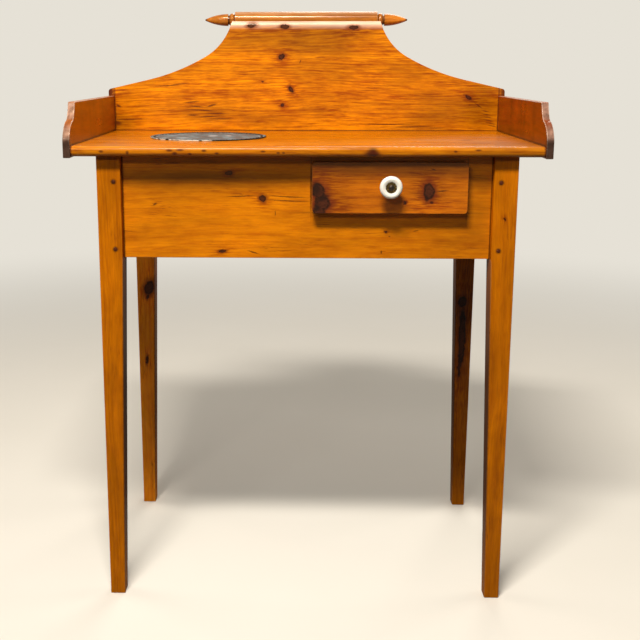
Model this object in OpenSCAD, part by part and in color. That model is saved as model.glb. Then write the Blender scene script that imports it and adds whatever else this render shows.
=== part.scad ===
// Small country pine washstand. A top board carries a swept backboard and two side
// galleries, and stands on four square legs that taper on their inner faces. The aprons
// are tenoned into the legs and pegged. One lipped drawer runs through the front apron.

/* [Top board] */
// Height of the top's surface above the floor
stand_h = 750; // [650:5:850]
// Width of the top board between the galleries
top_w = 718; // [640:2:860]
// Depth of the top board, backboard face to front edge
top_depth = 375; // [330:1:450]
// Thickness of the top board
top_t = 16; // [14:0.5:24]
// Radius on the front edge, above and below
nosing_r = 7; // [2:0.5:7]

/* [Basin hole and its cover] */
// Diameter of the old basin hole
basin_d = 170; // [120:2:190]
// Hole's centre from the left end of the top board
basin_from_end = 192; // [150:1:230]
// Hole's centre from the backboard
basin_from_back = 172; // [150:1:195]
// Width by which the sheet-metal cover laps the hole's edge
cover_lap = 14; // [10:1:24]
// Thickness of the sheet metal
cover_t = 0.8; // [0.5:0.1:1.5]
// Diameter of the cover's rolled rim
cover_rim_d = 2; // [1.6:0.1:3]
// Tacks round the cover
tack_count = 60; // [12:1:60]
// Diameter of a tack's head
tack_head_d = 4; // [3:0.1:5]
// Length of a tack's shank
tack_len = 8; // [6:0.5:10]
// Diameter of a tack's shank
tack_shank_d = 1.4; // [1:0.1:2]

/* [Galleries] */
// Thickness of a gallery board
gallery_t = 11; // [9:0.5:16]
// Height of a gallery above the top's surface
gallery_h = 65; // [58:1:72]
// Depth of a gallery below the top board's underside
gallery_lap = 2; // [0:0.5:6]
// Front end of a gallery beyond the top's front edge
gallery_reach = 3; // [0:0.5:8]
// Height of the square foot of its front end above the top's surface
gallery_foot_h = 8; // [4:0.5:14]
// Height of the cusp between the two curves
cusp_h = 37; // [30:0.5:42]
// Cusp back from the foot's front
cusp_back = 27; // [22:0.5:34]
// Ledge at the cusp
cusp_ledge = 3; // [1:0.5:5]
// Upper front corner back from the foot's front
gallery_rake = 45; // [38:0.5:52]
// Radius of the lower, convex curve
ovolo_r = 40; // [30:1:60]
// Radius of the upper, concave curve
cavetto_r = 45; // [35:1:70]
// Radius of the upper front corner
gallery_corner_r = 4; // [2:0.5:6]

/* [Backboard] */
// Thickness of the backboard
back_t = 19; // [16:0.5:24]
// Height of the backboard's ends above the top's surface
shoulder_h = 77; // [72:1:90]
// Slope of the shoulders, in degrees
shoulder_slope = 13; // [10:0.5:17]
// Radius on the shoulder's outer corner
shoulder_r = 6; // [2:0.5:12]
// Radius of the sweep where it leaves the shoulder
sweep_r = 400; // [330:5:460]
// Radius of the sweep up to the crest
crest_sweep_r = 107; // [95:1:125]
// Slope of the sweep where its two curves meet, in degrees
sweep_turn = 29.5; // [26:0.5:34]
// Height of the crest above the top's surface
crest_h = 201; // [185:1:220]
// Width of the crest
crest_w = 274; // [220:2:310]
// Radius on the crest's front edge
crest_nose_r = 8.5; // [6:0.5:12]

/* [Crest rod and finials] */
// Diameter of the rod
rod_d = 30; // [27:0.5:33]
// Rod's axis behind the backboard's back
rod_back = 1.5; // [0:0.5:4]
// Rod's end in from the crest's corner
rod_end_in = 5; // [2:0.5:12]
// Rod's axis above the crest's top
rod_rise = 2.5; // [0:0.5:5]
// Diameter of a finial's bead
bead_d = 24; // [20:0.5:28]
// Width of the bead
bead_w = 11; // [8:0.5:14]
// Width of the groove between bead and point
groove_w = 2; // [1:0.5:4]
// Diameter in the groove
groove_d = 17; // [13:0.5:19]
// Largest diameter of the point
point_d = 22; // [20:0.5:24]
// Length of the point
point_len = 43; // [36:1:52]
// Radius of the point's tip
tip_r = 2; // [1.5:0.25:3.5]

/* [Legs] */
// Side of a leg, square, down to the aprons' lower edge
leg_w = 37; // [34:0.5:46]
// Side of a leg's foot
foot_w = 24; // [20:0.5:30]
// Top board's end beyond the legs' outer faces
side_overhang = 35; // [20:1:50]
// Top's front edge beyond the legs' front faces
front_overhang = 17; // [12:0.5:30]

/* [Aprons and joints] */
// Height of the aprons
apron_h = 161; // [150:1:190]
// Thickness of the aprons
apron_t = 20; // [18:0.5:24]
// Aprons back from the legs' outer faces
apron_inset = 12; // [10:0.5:14]
// Tenon back from the apron's outer face
tenon_inset = 2; // [1:0.25:3]
// Thickness of the tenons
tenon_t = 8; // [6:0.25:9]
// Shoulder above a tenon
tenon_top = 12; // [8:1:20]
// Shoulder below a tenon
tenon_foot = 6; // [4:0.5:8]
// Diameter of the pegs
peg_d = 6; // [5:0.25:6.5]
// Length of the pegs in the leg
peg_len = 32; // [30:0.5:33]
// Peg in from the leg's inner face
peg_in = 11; // [10:0.25:11.5]
// Upper peg below the apron's top
peg_top = 40; // [30:1:50]
// Lower peg above the apron's lower edge
peg_foot = 15; // [13:0.5:24]
// Side-apron pegs nearer to the apron's middle, so that pegs don't meet
peg_stagger = 12; // [9:0.5:20]
// Side of the triangular glue blocks
block_w = 22; // [16:1:26]
// Length of the glue blocks
block_len = 55; // [40:1:70]

/* [Drawer] */
// Width of the drawer front
front_w = 238; // [200:1:260]
// Height of the drawer front
front_h = 78; // [70:1:92]
// Thickness of the drawer front outside the apron
front_t = 16; // [14:0.5:20]
// Drawer front below the top board's underside
front_drop = 9; // [6:0.5:14]
// Drawer front in from the right leg
front_from_leg = 40; // [34:1:60]
// Lip of the drawer front over the apron, all round
front_lip = 10; // [8:0.5:14]
// Radius on the drawer front's corners
front_corner_r = 5; // [2:0.5:8]
// Thickness of the front's tongue inside the opening
tongue_t = 6; // [5:0.5:8]
// Thickness of the drawer's sides
side_t = 10; // [9:0.5:13]
// Thickness of the drawer's back
rear_t = 10; // [8:0.5:13]
// Thickness of the drawer's bottom
floor_t = 5; // [4:0.5:7]
// Depth of the grooves that hold the bottom
groove_in = 5; // [3:0.25:6]
// Underside of the bottom above the sides' lower edges
floor_up = 6; // [5:0.5:8]
// Drawer's back below the sides' upper edges
rear_drop = 4; // [0:0.5:8]
// Room behind the closed drawer
rear_room = 43; // [30:1:60]
// Length of the front dovetails
tail_len = 12; // [9:0.5:14]
// Dovetails at each corner
tail_count = 2; // [1:1:3]
// Narrow width of the pins between the dovetails
pin_w = 6; // [4:0.25:7]
// Slope of the dovetails, as run for a rise of one
tail_slope = 6; // [5:0.5:8]

/* [Runners] */
// Thickness of the runners under the drawer
runner_h = 20; // [14:0.5:26]
// Width of a runner under the drawer's side
runner_in = 14; // [12:0.5:20]
// Width of a guide beside the drawer
guide_w = 12; // [8:0.5:14]
// Height of a guide
guide_h = 18; // [12:0.5:26]
// Width of a kicker over the drawer's side
kicker_w = 18; // [12:0.5:22]
// Depth of the housings that hold the runners' ends
housing = 5; // [3:0.5:8]

/* [Knob] */
// Diameter of the porcelain knob
knob_d = 35; // [30:0.5:40]
// Thickness of the knob's head
head_t = 10; // [8:0.5:12]
// Length of the knob's neck, drawer front to head
neck_len = 13; // [11:0.5:18]
// Diameter of the neck
neck_d = 16; // [14:0.5:18]
// Diameter of the foot that bears on the drawer front
knob_foot_d = 22; // [20:0.5:25]
// Thickness of the knob's foot
knob_foot_t = 3; // [2:0.25:4]
// Depth of the dish in the knob's face
dish = 1.2; // [0.6:0.1:2]
// Knob's axis above the drawer front's middle
knob_up = 3; // [0:0.5:6]
// Diameter of the washer under the screw's head
washer_d = 16.5; // [14:0.5:18]
// Thickness of that washer
washer_t = 1.5; // [1:0.1:2.5]
// Diameter of the screw's head
screw_head_d = 9; // [7:0.5:11]
// Height of the screw's domed head
screw_head_h = 2.8; // [2:0.1:4]
// Diameter of the screw
screw_d = 4.5; // [3.5:0.25:5.5]
// Side of the square nut
nut_w = 10; // [9:0.5:12]
// Thickness of the nut
nut_t = 4; // [3:0.25:6]

/* [Nails] */
// Side of a cut nail's shank
nail_w = 2.2; // [1.6:0.1:2.6]
// Length of the nails in the galleries
gallery_nail_len = 38; // [32:1:45]
// Length of the nails in the backboard
back_nail_len = 45; // [38:1:55]
// Length of the brads in the crest rod
rod_nail_len = 28; // [24:1:32]
// Length of the brads that hold the drawer's bottom
floor_nail_len = 20; // [16:1:24]

/* [Hidden] */
$fn = 96;

// Colours of the woods, metals and porcelain
pine = "#cf7a12";
pine_dark = "#a5570a";
pine_raw = "#c99a5b";
iron = "#3a3633";
tin = "#8f8f8a";
porcelain = "#f7f5ec";
brass = "#7d6a3f";

// Clearances
fit = 0.1;          // cheeks of tenons, dovetails and grooves
peg_fit = 0.05;     // round a peg
mitre_gap = 0.4;    // between the mitred ends of two tenons
notch_gap = 0.4;    // crest rod's beads beside the backboard's sweeps
run_gap = 0.3;      // drawer above its runners and before its stop
cheek_gap = 1.5;    // drawer beside its guides
head_gap = 1.7;     // drawer below its kickers
floor_play = 0.5;   // drawer's bottom in its grooves, sideways
screw_play = 0.25;  // round the knob's screw
past = 1;           // by which a cut runs past a face
peg_proud = 0.4;    // pegs before the face of the leg
nail_head = 1;      // thickness of a nail's head
nail_head_w = 4.2;  // length of a nail's head

// Stand: x from the middle, y from the backboard's face (front is negative), z from the floor
leg_h = stand_h - top_t;
leg_span = top_w - 2 * side_overhang;
leg_in_x = leg_span / 2 - leg_w;
leg_front_y = front_overhang - top_depth;
leg_back_y = back_t;
apron_z = leg_h - apron_h;
apron_front_y = leg_front_y + apron_inset;
apron_rear_y = apron_front_y + apron_t;
back_apron_y = leg_back_y - apron_inset - apron_t;
side_apron_y0 = leg_front_y + leg_w;
side_apron_y1 = leg_back_y - leg_w;
tenon_y0 = apron_inset + tenon_inset;
tenon_y1 = tenon_y0 + tenon_t;
tenon_z0 = apron_z + tenon_foot;
tenon_z1 = leg_h - tenon_top;
basin_x = basin_from_end - top_w / 2;
cover_r = basin_d / 2 + cover_lap;
tack_r = basin_d / 2 + cover_lap / 2;

// Backboard: the sweep leaves the sloping shoulder on a wide arc, which runs into a tighter one that
// meets the crest's corner
board_half = top_w / 2 + gallery_t;
slope_in = [-cos(shoulder_slope), sin(shoulder_slope)];
slope_up = [sin(shoulder_slope), cos(shoulder_slope)];
shoulder = [board_half, shoulder_h];
crest_corner = [crest_w / 2, crest_h];
turn_up = [sin(sweep_turn), cos(sweep_turn)];
to_crest = shoulder + sweep_r * slope_up - (sweep_r - crest_sweep_r) * turn_up - crest_corner;
sweep_run = -(to_crest * slope_in) - sqrt(pow(crest_sweep_r, 2) - pow(to_crest * slope_up, 2));
sweep_start = shoulder + sweep_run * slope_in;
sweep_centre = sweep_start + sweep_r * slope_up;
sweep_mid = sweep_centre - sweep_r * turn_up;
crest_centre = sweep_mid + crest_sweep_r * turn_up;
shoulder_c = [
    board_half - shoulder_r,
    shoulder_h + shoulder_r * tan(shoulder_slope) - shoulder_r / cos(shoulder_slope)
];

// Crest rod
rod_len = crest_w - 2 * rod_end_in;
rod_y = back_t + rod_back;
rod_z = stand_h + crest_h + rod_rise;
taper = (point_d / 2 - tip_r) * 2;
point_arc = (pow(point_len - tip_r, 2) + pow(taper / 2, 2)) / taper;

// Drawer
front_z1 = leg_h - front_drop;
front_z0 = front_z1 - front_h;
drawer_x = leg_in_x - front_from_leg - front_w / 2;
hole_w = front_w - 2 * front_lip;
hole_z0 = front_z0 + front_lip;
hole_z1 = front_z1 - front_lip;
box_w = hole_w - 2 * cheek_gap;
box_z0 = hole_z0 + run_gap;
box_z1 = hole_z1 - head_gap;
box_h = box_z1 - box_z0;
lip_y = apron_front_y - run_gap;
front_y = lip_y - front_t;
tongue_y = lip_y + tongue_t;
side_y0 = tongue_y - tail_len;
rear_y1 = back_apron_y - rear_room;
rear_y0 = rear_y1 - rear_t;
floor_z = box_z0 + floor_up;
rear_z0 = floor_z + floor_t + fit;
rear_z1 = box_z1 - rear_drop;
inner_w = box_w - 2 * side_t;
guide_x = hole_w / 2;

// Knob: distances out from the drawer front's face
knob_z = (front_z0 + front_z1) / 2 + knob_up;
knob_face = neck_len + head_t;
seat = knob_face - dish - washer_t / 2;
knob_out = seat + washer_t + screw_head_h;
screw_dome_r = (pow(screw_head_d / 2, 2) + pow(screw_head_h, 2)) / (2 * screw_head_h);
dish_r = (pow(knob_d / 3, 2) + pow(dish, 2)) / (2 * dish);

// The origin is the middle of the stand's footprint, on the floor
reach_front = -(front_y - knob_out);
reach_back = rod_y + rod_d / 2;
mid_y = (reach_front - reach_back) / 2;

// Moves a piece from the backboard's face to the origin
module placed() translate([0, mid_y, 0]) children();

// Mirrors the children left to right where on is true
module flip_x(on) {
    if (on) mirror([1, 0, 0]) children();
    else children();
}

// Mirrors the children front to back where on is true
module flip_y(on) {
    if (on) mirror([0, 1, 0]) children();
    else children();
}

// Places a leg's own frame: its outer corner is the origin, and it grows inwards
module at_corner(right, rear) {
    translate([right ? leg_span / 2 : -leg_span / 2, rear ? leg_back_y : leg_front_y, 0])
        flip_x(right) flip_y(rear) children();
}

// Flat outline drawn in width and height, made a board that is thick towards the back
module upright(thick) translate([0, thick, 0]) rotate([90, 0, 0]) linear_extrude(thick) children();

// Flat outline drawn in depth (towards the back) and height, made a board that is thick to the right
module sideways(thick) rotate([90, 0, 90]) linear_extrude(thick) children();

// Centre of the arc of radius r from a to b that bulges towards side
function arc_centre(a, b, r, side) = (a + b) / 2 - side * sqrt(r * r - pow(norm(b - a) / 2, 2));

// Unit vector to the left of the way from a to b
function left_of(a, b) = [a[1] - b[1], b[0] - a[0]] / norm(b - a);

// What rounding takes off an upper left corner that lies at the origin
module corner_trim(r) {
    difference() {
        translate([-past, -r]) square([r + past, r + past]);
        translate([r, -r]) circle(r);
    }
}

// Rectangle about the origin with round corners
module rounded_rect(w, h, r) {
    square([w - 2 * r, h], center = true);
    square([w, h - 2 * r], center = true);
    for (x = [-1, 1], y = [-1, 1])
        translate([x * (w / 2 - r), y * (h / 2 - r)]) circle(r);
}

// Top board, with a nosing along its front edge
module top_board() {
    color(pine) placed() difference() {
        translate([-top_w / 2, 0, stand_h - top_t]) sideways(top_w) {
            translate([nosing_r - top_depth, 0]) square([top_depth - nosing_r, top_t]);
            translate([-top_depth, nosing_r]) square([top_depth, top_t - 2 * nosing_r]);
            for (z = [nosing_r, top_t - nosing_r])
                translate([nosing_r - top_depth, z]) circle(nosing_r);
        }
        translate([basin_x, -basin_from_back, stand_h - top_t - past])
            cylinder(d = basin_d, h = top_t + 2 * past);
    }
}

// Round sheet-metal cover with a rolled rim, over the old basin hole
module basin_hole_cover() {
    rim_r = cover_rim_d / 2;
    color(tin) placed() translate([basin_x, -basin_from_back, stand_h]) rotate_extrude() {
        square([cover_r - rim_r, cover_t]);
        translate([cover_r - rim_r, rim_r]) circle(rim_r);
    }
}

// One tack: a low domed head on a shank
module tack() {
    dome_h = tack_head_d / 5;
    dome_r = (pow(tack_head_d / 2, 2) + pow(dome_h, 2)) / (2 * dome_h);
    intersection() {
        translate([0, 0, dome_h - dome_r]) sphere(dome_r);
        cylinder(d = tack_head_d + past, h = dome_h + past);
    }
    translate([0, 0, -tack_len]) cylinder(d = tack_shank_d, h = tack_len + dome_h / 2);
}

module cover_tacks() {
    color(iron) placed() translate([basin_x, -basin_from_back, stand_h + cover_t])
        for (i = [0:tack_count - 1]) rotate(i * 360 / tack_count) translate([tack_r, 0, 0]) tack();
}

// Side profile of a gallery, front to the left: a square foot, a convex curve, a cusp
// and a concave curve that crosses the rounding of the upper corner
module gallery_outline() {
    front = -(top_depth + gallery_reach);
    foot = [front, gallery_foot_h];
    cusp = [front + cusp_back, cusp_h];
    ledge = cusp + [cusp_ledge, 0];
    corner = [front + gallery_rake, gallery_h];
    neck = corner + [gallery_corner_r / 10, -gallery_corner_r];
    difference() {
        translate([front, -top_t - gallery_lap]) square([-front, top_t + gallery_lap + gallery_h]);
        difference() {
            translate(foot - [past, past]) square(cusp - foot + [past + cusp_ledge / 2, 2 * past]);
            translate(arc_centre(foot, cusp, ovolo_r, left_of(foot, cusp))) circle(ovolo_r);
        }
        intersection() {
            translate([front - past, cusp_h]) square([2 * gallery_rake, gallery_h]);
            translate(arc_centre(ledge, neck, cavetto_r, -left_of(ledge, neck))) circle(cavetto_r);
        }
        translate(corner) corner_trim(gallery_corner_r);
    }
}

module left_gallery() {
    color(pine_dark) placed() translate([-board_half, 0, stand_h]) sideways(gallery_t) gallery_outline();
}

module right_gallery() {
    color(pine_dark) placed() translate([top_w / 2, 0, stand_h]) sideways(gallery_t) gallery_outline();
}

// Cut nail driven along +Z, with its flat head at the origin's level
module cut_nail(len) {
    translate([-nail_w / 2, -nail_w / 2, 0]) cube([nail_w, nail_w, len]);
    translate([-nail_head_w / 2, -nail_w / 2, 0]) cube([nail_head_w, nail_w, nail_head]);
}

module gallery_nails() {
    color(iron) placed() for (right = [false, true], i = [0:3])
        flip_x(right) translate([-board_half, -top_depth * (0.5 + i) / 4, stand_h - top_t / 2])
            rotate([0, 90, 0]) cut_nail(gallery_nail_len);
}

// Backboard's outline above the top's surface; its lower part laps the top board's rear edge
module backboard_outline() {
    difference() {
        for (left = [false, true]) flip_x(left) {
            polygon([
                [0, -top_t], [board_half, -top_t], [board_half, shoulder_c[1]],
                shoulder_c + shoulder_r * slope_up, sweep_start, [sweep_mid[0], crest_h], [0, crest_h]
            ]);
            translate(shoulder_c) circle(shoulder_r);
        }
        for (left = [false, true]) flip_x(left) {
            translate(crest_centre) circle(crest_sweep_r);
            intersection() {
                translate(sweep_centre) circle(sweep_r);
                polygon([sweep_centre, 2 * sweep_mid - sweep_centre, 2 * sweep_start - sweep_centre]);
            }
        }
    }
}

module backboard() {
    nose_w = crest_w + 2 * crest_nose_r;
    color(pine) placed() translate([0, 0, stand_h]) difference() {
        upright(back_t) backboard_outline();
        translate([-nose_w / 2, 0, crest_h]) sideways(nose_w) corner_trim(crest_nose_r);
    }
}

// Nails through the backboard into the top's rear edge, and into the galleries' ends
module backboard_nails() {
    color(iron) placed() {
        for (i = [-2:2]) translate([i * top_w / 5, back_t, stand_h - top_t / 2])
            rotate([90, 0, 0]) cut_nail(back_nail_len);
        for (right = [false, true], z = [gallery_h / 4, gallery_h * 3 / 4])
            flip_x(right) translate([gallery_t / 2 - board_half, back_t, stand_h + z])
                rotate([90, 90, 0]) cut_nail(back_nail_len);
    }
}

// Turned end of the rod, along +Z: bead, groove, and a point with an arched side
module finial() {
    point_z = bead_w + groove_w;
    bead_r = bead_w / 2;
    translate([0, 0, -past]) cylinder(d = groove_d, h = point_z + 2 * past);
    rotate_extrude() {
        square([bead_d / 2 - bead_r, bead_w]);
        translate([bead_d / 2 - bead_r, bead_r]) circle(bead_r);
        translate([0, point_z]) intersection() {
            translate([point_d / 2 - point_arc, 0]) circle(point_arc, $fn = 360);
            square([point_d, point_len - tip_r]);
        }
        intersection() {
            translate([0, point_z + point_len - tip_r]) circle(tip_r);
            square([point_d, point_z + point_len]);
        }
    }
}

// Round rod turned in one with its two finials, notched to sit on the backboard's top and back
module crest_rod() {
    color(pine) placed() translate([0, rod_y, rod_z]) difference() {
        union() {
            translate([-rod_len / 2, 0, 0]) rotate([0, 90, 0]) cylinder(d = rod_d, h = rod_len);
            for (left = [false, true])
                flip_x(left) translate([rod_len / 2, 0, 0]) rotate([0, 90, 0]) finial();
        }
        for (x = [-notch_gap, notch_gap])
            translate([x, -rod_d - rod_back, -rod_rise - crest_h]) upright(rod_d) backboard_outline();
    }
}

// Brads driven from behind through the rod into the backboard's back
module crest_rod_nails() {
    color(iron) placed() for (i = [-1:1])
        translate([i * rod_len / 3, rod_y + rod_d / 2, rod_z - rod_d / 4]) rotate([90, 0, 0])
            cut_nail(rod_nail_len);
}

// Leg seen from one side: square above, tapered on the inner side below the aprons
module leg_outline() {
    polygon([[0, 0], [foot_w, 0], [leg_w, apron_z], [leg_w, leg_h], [0, leg_h]]);
}

// Plan of the mitred tenon that enters a leg along x, in the leg's own frame
tenon_plan = [
    [leg_w + past, tenon_y0], [leg_w + past, tenon_y1],
    [tenon_y1 + mitre_gap, tenon_y1], [tenon_y0 + mitre_gap, tenon_y0]
];

// Same points with x and y exchanged, for the apron that enters along y
function crossed(points) = [for (p = points) [p[1], p[0]]];

module tenon(along_y) {
    translate([0, 0, tenon_z0]) linear_extrude(tenon_z1 - tenon_z0)
        polygon(along_y ? crossed(tenon_plan) : tenon_plan);
}

// Mortise for that tenon: it runs to the crossing mortise's far wall
module mortise(along_y) {
    far = tenon_y0 - fit;
    depth = leg_w - far + past;
    translate([far, far, tenon_z0 - fit])
        cube(along_y
            ? [tenon_t + 2 * fit, depth, tenon_z1 - tenon_z0 + 2 * fit]
            : [depth, tenon_t + 2 * fit, tenon_z1 - tenon_z0 + 2 * fit]);
}

// The two pegs of one joint, entering from the leg's outer face
module peg_pair(along_y, d, lead) {
    shift = along_y ? peg_stagger : 0;
    for (z = [leg_h - peg_top - shift, apron_z + peg_foot + shift])
        if (along_y) translate([-lead, leg_w - peg_in, z])
            rotate([0, 90, 0]) cylinder(d = d, h = peg_len + lead);
        else translate([leg_w - peg_in, -lead, z])
            rotate([-90, 0, 0]) cylinder(d = d, h = peg_len + lead);
}

module leg() {
    difference() {
        intersection() {
            upright(leg_w) leg_outline();
            sideways(leg_w) leg_outline();
        }
        for (along_y = [false, true]) {
            mortise(along_y);
            peg_pair(along_y, peg_d + 2 * peg_fit, past);
        }
    }
}

module front_left_leg() color(pine) placed() at_corner(false, false) leg();

module front_right_leg() color(pine) placed() at_corner(true, false) leg();

module back_left_leg() color(pine) placed() at_corner(false, true) leg();

module back_right_leg() color(pine) placed() at_corner(true, true) leg();

module joint_pegs() {
    color(pine_dark) placed() for (right = [false, true], rear = [false, true], along_y = [false, true])
        at_corner(right, rear) peg_pair(along_y, peg_d, peg_proud);
}

// Board between the left and right legs, with its tenons
module cross_apron(y, rear) {
    difference() {
        union() {
            translate([-leg_in_x, y, apron_z]) cube([2 * leg_in_x, apron_t, apron_h]);
            for (right = [false, true]) at_corner(right, rear) tenon(false);
        }
        for (right = [false, true])
            at_corner(right, rear) peg_pair(false, peg_d + 2 * peg_fit, past);
    }
}

// Front apron, with the drawer's opening and the housings of its runners
module front_apron() {
    color(pine) placed() difference() {
        cross_apron(apron_front_y, false);
        translate([drawer_x - hole_w / 2, apron_front_y - past, hole_z0])
            cube([hole_w, apron_t + 2 * past, hole_z1 - hole_z0]);
        runner_pair(fit);
    }
}

module back_apron() {
    color(pine_raw) placed() difference() {
        cross_apron(back_apron_y, true);
        runner_pair(fit);
    }
}

// Board between the front and back legs, with its tenons
module end_apron(right) {
    x = leg_span / 2 - apron_inset - apron_t;
    difference() {
        union() {
            flip_x(!right) translate([x, side_apron_y0, apron_z])
                cube([apron_t, side_apron_y1 - side_apron_y0, apron_h]);
            for (rear = [false, true]) at_corner(right, rear) tenon(true);
        }
        for (rear = [false, true])
            at_corner(right, rear) peg_pair(true, peg_d + 2 * peg_fit, past);
    }
}

module left_apron() color(pine_dark) placed() end_apron(false);

module right_apron() color(pine_dark) placed() end_apron(true);

// Triangular block in the corner between an apron, along x at y = 0, and the top board
module glue_block() {
    translate([-block_len / 2, 0, leg_h]) sideways(block_len)
        polygon([[0, 0], [block_w, 0], [0, -block_w]]);
}

module glue_blocks() {
    end_x = leg_span / 2 - apron_inset - apron_t;
    end_y = block_len;
    color(pine_raw) placed() {
        for (x = [-leg_in_x + block_len, -block_len]) translate([x, apron_rear_y, 0]) glue_block();
        for (x = [-leg_in_x + block_len, -block_len, drawer_x])
            translate([x, back_apron_y, 0]) flip_y(true) glue_block();
        for (right = [false, true], y = [side_apron_y0 + end_y, side_apron_y1 - end_y])
            flip_x(right) translate([-end_x, y, 0]) rotate(-90) glue_block();
    }
}

// Both runners, longer by the housings, and wider by play where they cut those housings
module runner_pair(play) {
    for (right = [false, true]) runner(right, play);
}

// Rail under one side of the drawer, held in housings in the front and back aprons
module runner(right, play) {
    w = runner_in + cheek_gap + guide_w;
    len = back_apron_y - apron_rear_y + 2 * housing;
    translate([drawer_x, apron_rear_y - housing - play, hole_z0 - runner_h - play]) flip_x(!right)
        translate([guide_x + guide_w - w - play, 0, 0])
            cube([w + 2 * play, len + 2 * play, runner_h + (play > 0 ? 2 * play : 0)]);
}

// Strip on a runner that keeps the drawer from drifting sideways
module guide(right) {
    translate([drawer_x, apron_rear_y, hole_z0]) flip_x(!right)
        translate([guide_x, 0, 0]) cube([guide_w, back_apron_y - apron_rear_y, guide_h]);
}

// Strip under the top board that keeps the open drawer from tipping
module kicker(right) {
    translate([drawer_x, apron_rear_y, hole_z1]) flip_x(!right)
        translate([guide_x - kicker_w, 0, 0])
            cube([kicker_w, back_apron_y - apron_rear_y, leg_h - hole_z1]);
}

module left_runner() color(pine_raw) placed() runner(false, 0);

module right_runner() color(pine_raw) placed() runner(true, 0);

module left_guide() color(pine_raw) placed() guide(false);

module right_guide() color(pine_raw) placed() guide(true);

module left_kicker() color(pine_raw) placed() kicker(false);

module right_kicker() color(pine_raw) placed() kicker(true);

// Row of dovetails that point towards -x, drawn from their root at x = 0, over a height h
module tails(h, len, play) {
    pitch = h / tail_count;
    tip = (pitch - pin_w) / 2 + play;
    root = tip - len / tail_slope;
    for (i = [0:tail_count - 1]) translate([0, (i + 0.5) * pitch])
        polygon([
            [past, -root], [0, -root], [-len - play, -tip], [-len - play, tip], [0, root], [past, root]
        ]);
}

// Dovetails at a side's front end
module front_tails(play) {
    translate([0, tongue_y, box_z0]) sideways(side_t) tails(box_h, tail_len, play);
}

// Dovetails at a side's rear end, as high as the drawer's back
module rear_tails(play) {
    translate([0, rear_y0, rear_z0]) sideways(side_t) mirror([1, 0]) tails(rear_z1 - rear_z0, rear_t, play);
}

// Places a side's own frame, whose outer face is x = 0, at the left or right of the drawer
module at_side(right) translate([drawer_x, 0, 0]) flip_x(right) translate([-box_w / 2, 0, 0]) children();

module side() {
    difference() {
        union() {
            translate([0, tongue_y, box_z0]) cube([side_t, rear_y0 - tongue_y, box_h]);
            translate([0, rear_y0 - past, box_z0])
                cube([side_t, rear_t + past, rear_z0 - fit - box_z0]);
            front_tails(0);
            rear_tails(0);
        }
        translate([side_t - groove_in, side_y0 - past, floor_z - fit])
            cube([groove_in + past, rear_y1 - side_y0 + 2 * past, floor_t + 2 * fit]);
    }
}

module drawer_left_side() color(pine_raw) placed() at_side(false) side();

module drawer_right_side() color(pine_raw) placed() at_side(true) side();

// Lipped front: a slab over the apron, and a tongue in the opening that takes the dovetails
module drawer_front() {
    color(pine) placed() difference() {
        union() {
            translate([drawer_x, front_y, (front_z0 + front_z1) / 2])
                upright(front_t) rounded_rect(front_w, front_h, front_corner_r);
            translate([drawer_x - box_w / 2, lip_y - past, box_z0])
                cube([box_w, tongue_t + past, box_h]);
        }
        for (right = [false, true]) at_side(right) front_tails(fit);
        translate([drawer_x - inner_w / 2 - past, tongue_y - groove_in, floor_z - fit])
            cube([inner_w + 2 * past, groove_in + past, floor_t + 2 * fit]);
        translate([drawer_x, front_y - past, knob_z]) rotate([-90, 0, 0])
            cylinder(d = screw_d + 2 * screw_play, h = front_t + tongue_t + 2 * past);
    }
}

// Back of the drawer: its pins fill the spaces between the sides' rear dovetails
module drawer_back() {
    color(pine_raw) placed() difference() {
        translate([drawer_x - box_w / 2, rear_y0, rear_z0]) cube([box_w, rear_t, rear_z1 - rear_z0]);
        for (right = [false, true]) at_side(right) rear_tails(fit);
    }
}

// Bottom panel, in the grooves of the front and sides, and under the back
module drawer_bottom() {
    w = inner_w + 2 * groove_in - 2 * floor_play;
    y = tongue_y - groove_in + floor_play;
    color(pine_raw) placed() translate([drawer_x - w / 2, y, floor_z]) cube([w, rear_y1 - y, floor_t]);
}

module drawer_bottom_nails() {
    color(iron) placed() for (i = [-1:1])
        translate([drawer_x + i * inner_w / 3, (rear_y0 + rear_y1) / 2, floor_z])
            cut_nail(floor_nail_len);
}

// Knob's half profile, out from the drawer front: foot, waisted neck, and rounded head
module knob_outline() {
    rim = head_t / 2;
    waist = (knob_foot_d - neck_d) / 2 - knob_foot_t / 2;
    difference() {
        union() {
            square([neck_d / 2, knob_face]);
            square([(knob_foot_d - knob_foot_t) / 2, knob_foot_t]);
            translate([(knob_foot_d - knob_foot_t) / 2, knob_foot_t / 2]) circle(knob_foot_t / 2);
            translate([0, neck_len]) square([knob_d / 2 - rim, head_t]);
            translate([knob_d / 2 - rim, neck_len + rim]) circle(rim);
            difference() {
                translate([0, neck_len - rim / 2]) square([neck_d / 2 + rim / 2, rim]);
                translate([neck_d / 2 + rim / 2, neck_len - rim / 2]) circle(rim / 2);
            }
            difference() {
                square([neck_d / 2 + waist, knob_foot_t + waist]);
                translate([neck_d / 2 + waist, knob_foot_t + waist]) circle(waist);
            }
        }
        translate([0, knob_face - dish + dish_r]) circle(dish_r, $fn = 360);
        translate([0, seat]) square([washer_d / 2 + fit, head_t]);
        translate([-past, -past]) square([past + screw_d / 2 + screw_play, knob_face + 2 * past]);
        translate([-knob_d, -past]) square([knob_d, knob_face + 2 * past]);
    }
}

// Places what turns about the knob's axis, with +Z out of the drawer front
module on_knob_axis() translate([drawer_x, front_y, knob_z]) rotate([90, 0, 0]) children();

module knob() color(porcelain) placed() on_knob_axis() rotate_extrude() knob_outline();

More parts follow.
